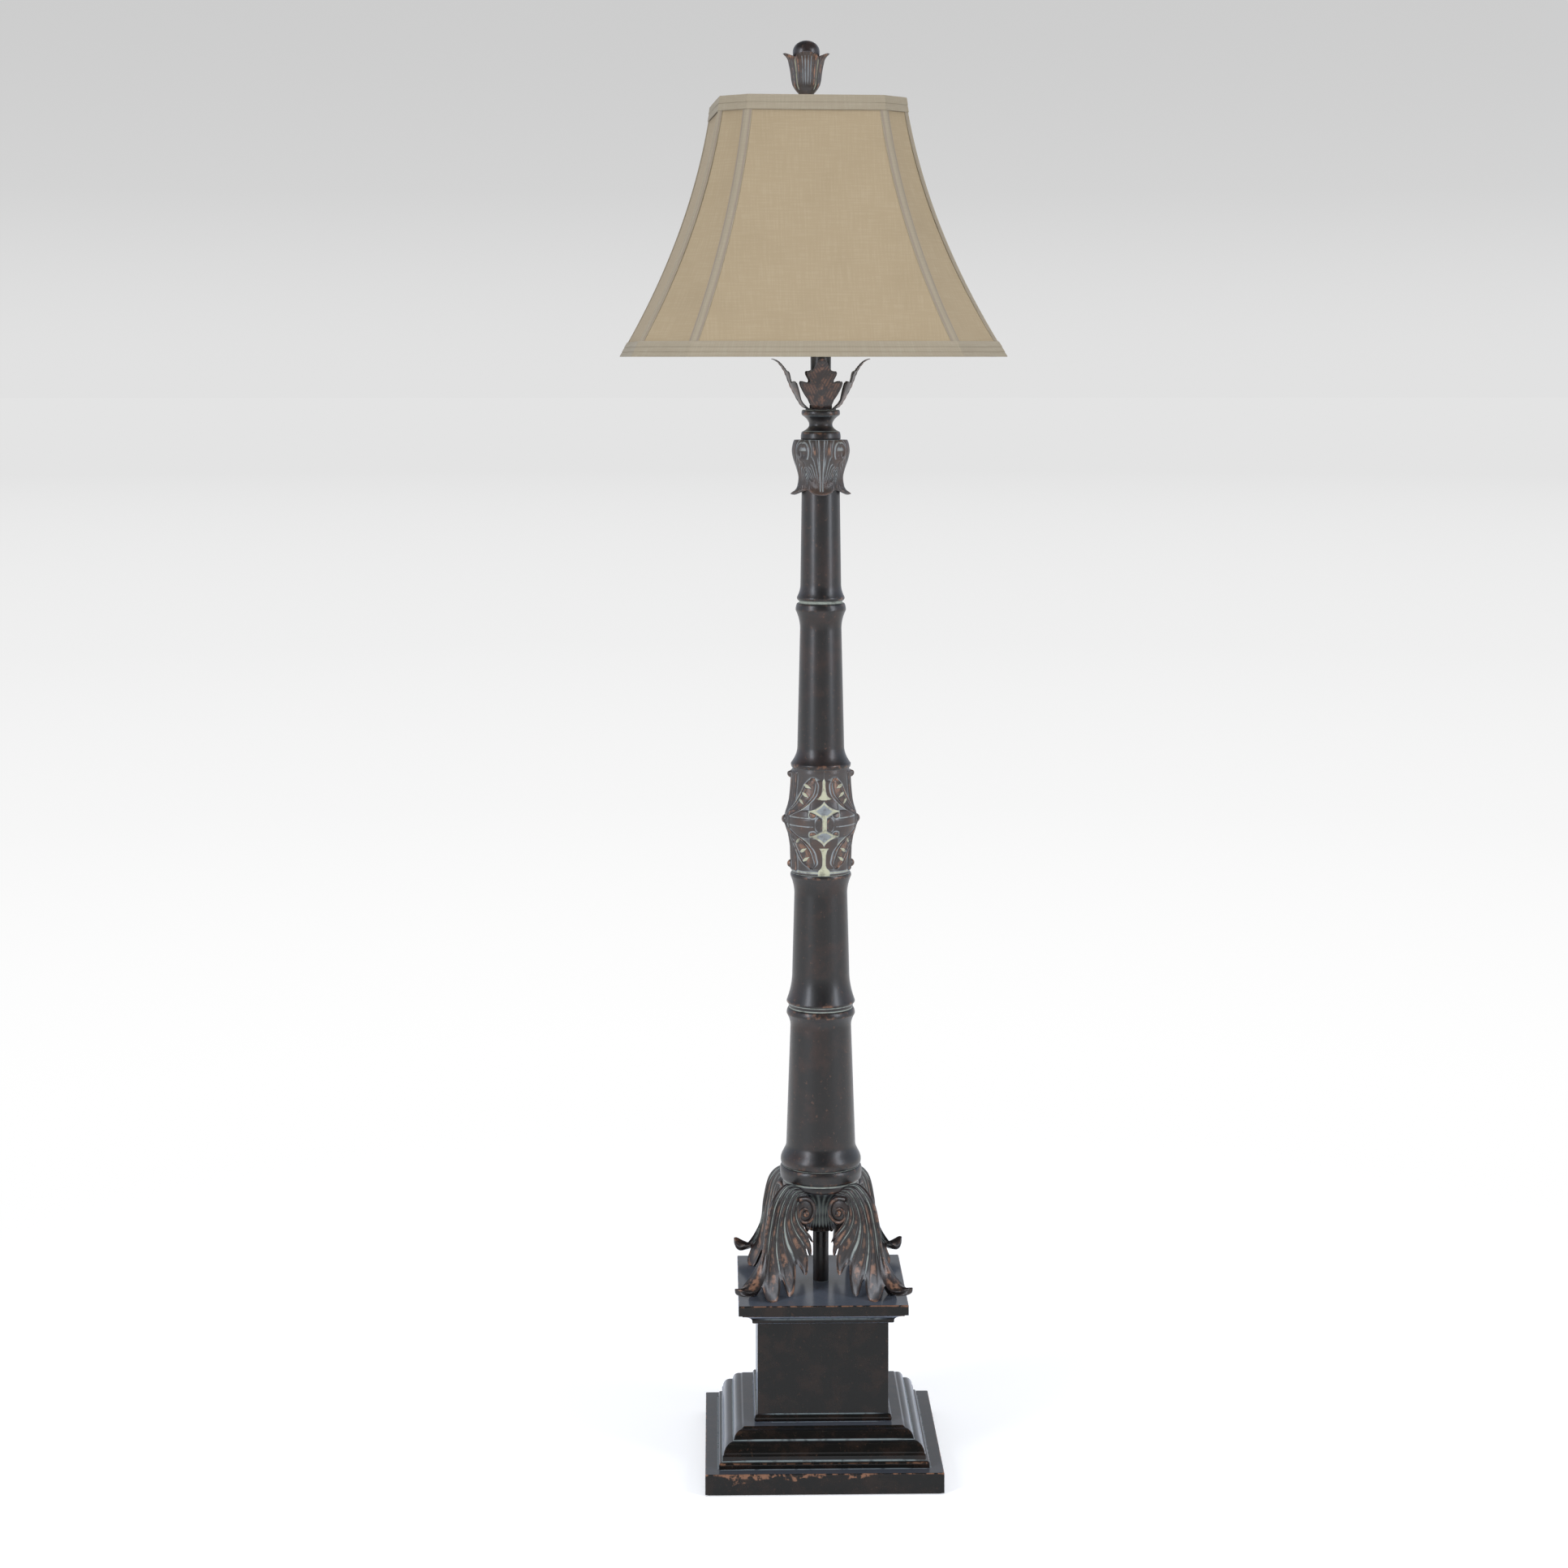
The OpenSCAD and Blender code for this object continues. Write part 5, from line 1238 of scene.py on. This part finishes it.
    def binding(self, edge: str, t0: float, t1: float, folds: Sequence[float]) -> None:
        """Make the folded band round the top or the bottom.

        Args:
            edge: Which edge of the shade it binds, as its piece and its node are named.
            t0: Where it starts, as a share of the height from the top.
            t1: Where it ends.
            folds: The shares of its own height at which a fold steps in.
        """
        steps, turn_in, crease_w = 14, 0.04, 0.03
        creases = {f + d for f in folds for d in (-crease_w, 0.0, crease_w)}
        marks = np.array(sorted({0.0, turn_in, 1 - turn_in, 1.0} | creases))
        lifts = np.array([
            1.9 - 0.35 * sum(m > f for f in folds) - 0.5 * any(abs(m - f) < 1e-6 for f in folds)
            - 0.7 * (m in (0.0, 1.0)) for m in marks])
        t = t0 + (t1 - t0) * marks
        rng = np.random.default_rng(7)
        wave = rng.normal(0, 0.16, (8 * steps, 1))
        wave = (wave + np.roll(wave, 1, 0) + np.roll(wave, -1, 0)) / 2
        rings = []
        for place, w in enumerate(wave[:, 0]):
            k, s = place // steps, place % steps / steps
            outer, inner = (self.corner(k, t, lift) * (1 - s) + self.corner(k + 1, t, lift) * s
                            for lift in (lifts + w, 0.85))
            rings.append(np.concatenate([outer, inner[::-1]])[::-1])
        relief = np.zeros((len(rings), 2 * len(marks)))
        skin = ring_skin(np.array(rings), relief, closed=True)
        tall = marks * (t1 - t0) * self.height
        across = relief + np.concatenate([tall, tall[::-1]])
        down = relief + np.arange(len(rings))[:, None] * 100.0 / steps
        self.make_cloth(f"{edge}_folded", skin, "trim_linen", Finish.RIBBON, edge, across, down)

    def build(self) -> None:
        """Make the panels, the ribbons and the bindings."""
        for k in range(8):
            self.panel(k)
        skins, *maps = zip(*(self.ribbon(k) for k in range(8)))
        joined = skins[0]
        for skin in skins[1:]:
            joined = joined + skin
        self.make_cloth("seam_ribbons_sewn", joined, "trim_linen", Finish.RIBBON, "seam_ribbons",
                        *(np.concatenate(rows) for rows in maps))
        share = self.binding_h / self.height
        self.binding("top_binding", 0.0, share, (0.52,))
        self.binding("bottom_binding", 1 - share, 1.0, (0.38, 0.7))


# ---------- carried-over parts ----------


class Fittings:
    """The frame's own solids that stay as they are and only get their finish."""

    FINISHES: dict[Finish, tuple[str, ...]] = {
        Finish.FELT: ("floor_felt",),
        Finish.IRON: ("ballast_weight",),
        Finish.PHENOLIC: ("cord_bush", "socket_core", "switch_key"),
        Finish.ZINC: ("bottom_nut", "bottom_washer", "lower_rod", "upper_rod", "rod_coupling"),
        Finish.BRASS: ("harp_saddle", "neck_nut", "harp", "harp_stud", "harp_sleeve_left", "harp_sleeve_right",
                       "socket_cap", "socket_shell", "shade_spider", "finial_insert"),
        Finish.SCREW: ("bulb_base",),
        Finish.FROSTED: ("bulb_glass",),
        Finish.COATED_WIRE: ("shade_frame",),
        Finish.STYRENE: ("shade_lining",),
    }

    def dress(self) -> None:
        """Give each carried-over solid its finish."""
        for finish, nodes in self.FINISHES.items():
            for name in nodes:
                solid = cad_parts[name]
                solid.data.materials.clear()
                solid.data.materials.append(finish.material())
                LOG.info("%s: %s", name, finish.value.name)


# ---------- studio ----------


@dataclass
class Studio:
    """The pale floor, the soft light and the camera at the photograph's angle."""

    camera_height: float = 1.2807
    distance: float = 3.488
    axis_right: float = 0.043
    yaw: float = 1.33
    lens: float = 68.44
    shift: float = -0.2723
    floor_reach: float = 90.0
    aim: tuple[float, float, float] = (0.0, 0.0, 0.85)

    def camera(self) -> None:
        """Place the camera: level, with its frame shifted down the lamp."""
        turn = math.radians(self.yaw)
        c, s = math.cos(turn), math.sin(turn)
        data = bpy.data.cameras.new("camera")
        data.lens, data.shift_y, data.sensor_width = self.lens, self.shift, 36.0
        data.clip_end = 200.0
        camera = new_object("camera", data)
        camera.location = (-c * self.axis_right - s * self.distance, s * self.axis_right - c * self.distance,
                           self.camera_height)
        camera.rotation_euler = (math.pi / 2, 0, -turn)
        bpy.context.scene.camera = camera

    @staticmethod
    def shown(add: Callable[..., bpy.types.Node]) -> bpy.types.Node:
        """Give 1 where the camera looks, also by way of a mirror or glass, and 0 where light bounces."""
        path = add("LightPath").outputs
        direct = add("Math", {0: path["Is Camera Ray"], 1: path["Is Glossy Ray"]}, operation="MAXIMUM")
        return add("Math", {0: direct, 1: path["Is Transmission Ray"]}, operation="MAXIMUM")

    @staticmethod
    def set_stops(blend: bpy.types.Node, stops: Sequence[tuple[float, str]]) -> None:
        """Give a colour ramp its stops, in rising order."""
        elements = blend.color_ramp.elements
        while len(elements) < len(stops):
            elements.new(0.5)
        for element, (position, code) in zip(elements, stops):
            element.position, element.color = position, linear(code)

    def floor(self) -> None:
        """Lay the floor: white round the lamp, and a little greyer further off, as the backdrop is."""
        material = bpy.data.materials.new("studio_paper")
        add = node_adder(material)
        place = add("TexCoord").outputs["Object"]
        away = add("VectorMath", {0: place}, operation="LENGTH").outputs["Value"]
        near = add("ValToRGB", {0: add("Math", {0: away, 1: 30.0}, operation="DIVIDE")})
        self.set_stops(near, ((0.0, "#ffffff"), (0.07, "#ffffff"), (0.1, "#fdfdfd"), (0.17, "#f7f7f7"),
                              (0.33, "#f0f0f0"), (0.9, "#e6e6e6"), (1.0, "#e4e4e4")))
        paper = add("BsdfDiffuse", {0: linear("#e8e8e8")})
        lift = add("Emission", {0: linear("#ffffff"), 1: 0.36})
        lit = add("AddShader", {0: paper, 1: lift})
        far = add("MapRange", {0: away, 1: 0.5, 2: 1.6}, **SMOOTH)
        seen = add("MixShader", {0: far, 1: lit, 2: add("Emission", {0: near, 1: 1.0})})
        add("OutputMaterial", {"Surface": add("MixShader", {0: self.shown(add), 1: paper, 2: seen})})
        mesh = bpy.data.meshes.new("floor")
        r = self.floor_reach
        mesh.from_pydata([(-r, -r, 0), (r, -r, 0), (r, r, 0), (-r, r, 0)], [], [(0, 1, 2, 3)])
        mesh.materials.append(material)
        new_object("floor", mesh)

    def backdrop(self) -> None:
        """Light the room evenly, and show the backdrop's grey to the camera and to anything that mirrors it."""
        world = bpy.data.worlds.new("backdrop")
        add = node_adder(world)
        right, back, up = add("SeparateXYZ", {0: add("TexCoord").outputs["Generated"]}).outputs
        paper = add("ValToRGB", {0: add("MapRange", {0: up, 1: -0.01, 2: 0.13}, **SMOOTH)})
        self.set_stops(paper, ((0.0, "#e2e2e2"), (0.45, "#d4d4d4"), (1.0, "#cdcdcd")))
        # The paper stands behind the lamp, and cool daylight at its sides; overhead and behind the camera it is dim.
        behind = add("MapRange", {0: back, 1: -0.3, 2: -0.8}, **SMOOTH)
        over = add("MapRange", {0: up, 1: 0.25, 2: 0.75}, **SMOOTH)
        dim = add("Math", {0: behind, 1: over}, operation="MAXIMUM")
        cool = add("MapRange", {0: add("Math", {0: right}, operation="ABSOLUTE"), 1: 0.25, 2: 0.6}, **SMOOTH)
        sky = paper.outputs[0]
        for share, code in ((cool, "#dfe8f8"), (dim, "#5c5c5c")):
            sky = add("Mix", {0: share, 6: sky, 7: linear(code)}, **COLOURS).outputs[2]
        shown = add("Background", {0: sky, 1: 1.0})
        light = add("Background", {0: linear("#f2f4f8"), 1: 0.5})
        add("OutputWorld", {"Surface": add("MixShader", {0: self.shown(add), 1: light, 2: shown})})
        bpy.context.scene.world = world

    def lamps(self) -> None:
        """Hang two tall soft boxes that show in the lacquer, and two that only fill."""
        for name, where, size, power, mirrored in (
            ("left_box", (-2.6, -2.4, 2.0), (0.9, 2.6), 76.0, True),
            ("right_box", (2.8, -1.9, 2.0), (0.9, 2.6), 62.0, True),
            ("front_box", (0.4, -4.6, 2.4), (2.4, 1.6), 30.0, False),
            ("top_box", (0.0, -0.3, 3.6), (2.2, 2.2), 34.0, False),
        ):
            data = bpy.data.lights.new(name, "AREA")
            data.shape, data.energy, data.color = "RECTANGLE", power, linear("#f0f5ff")[:3]
            data.size, data.size_y = size
            box = new_object(name, data)
            box.location = where
            box.visible_glossy = mirrored
            x, y, z = unit(np.array(self.aim) - np.array(where))
            overhead = max(abs(where[0]), abs(where[1])) < 0.5
            box.rotation_euler = (math.acos(-z), 0, 0.0 if overhead else math.atan2(-x, y))

    def build(self) -> None:
        """Set up the camera, the floor, the backdrop and the lamps."""
        self.camera()
        self.floor()
        self.backdrop()
        self.lamps()
        bpy.context.scene.view_settings.view_transform = "Standard"


def main() -> None:
    """Build the lamp round its frame."""
    logging.basicConfig(level=logging.INFO, format="%(name)s: %(message)s")
    Studio().build()
    for part in (Plinth(), ScrollLegs(), Column(), Finial(), BellShade()):
        LOG.info("building %s", type(part).__name__)
        part.build()
    Fittings().dress()


if __name__ == "__main__":
    main()
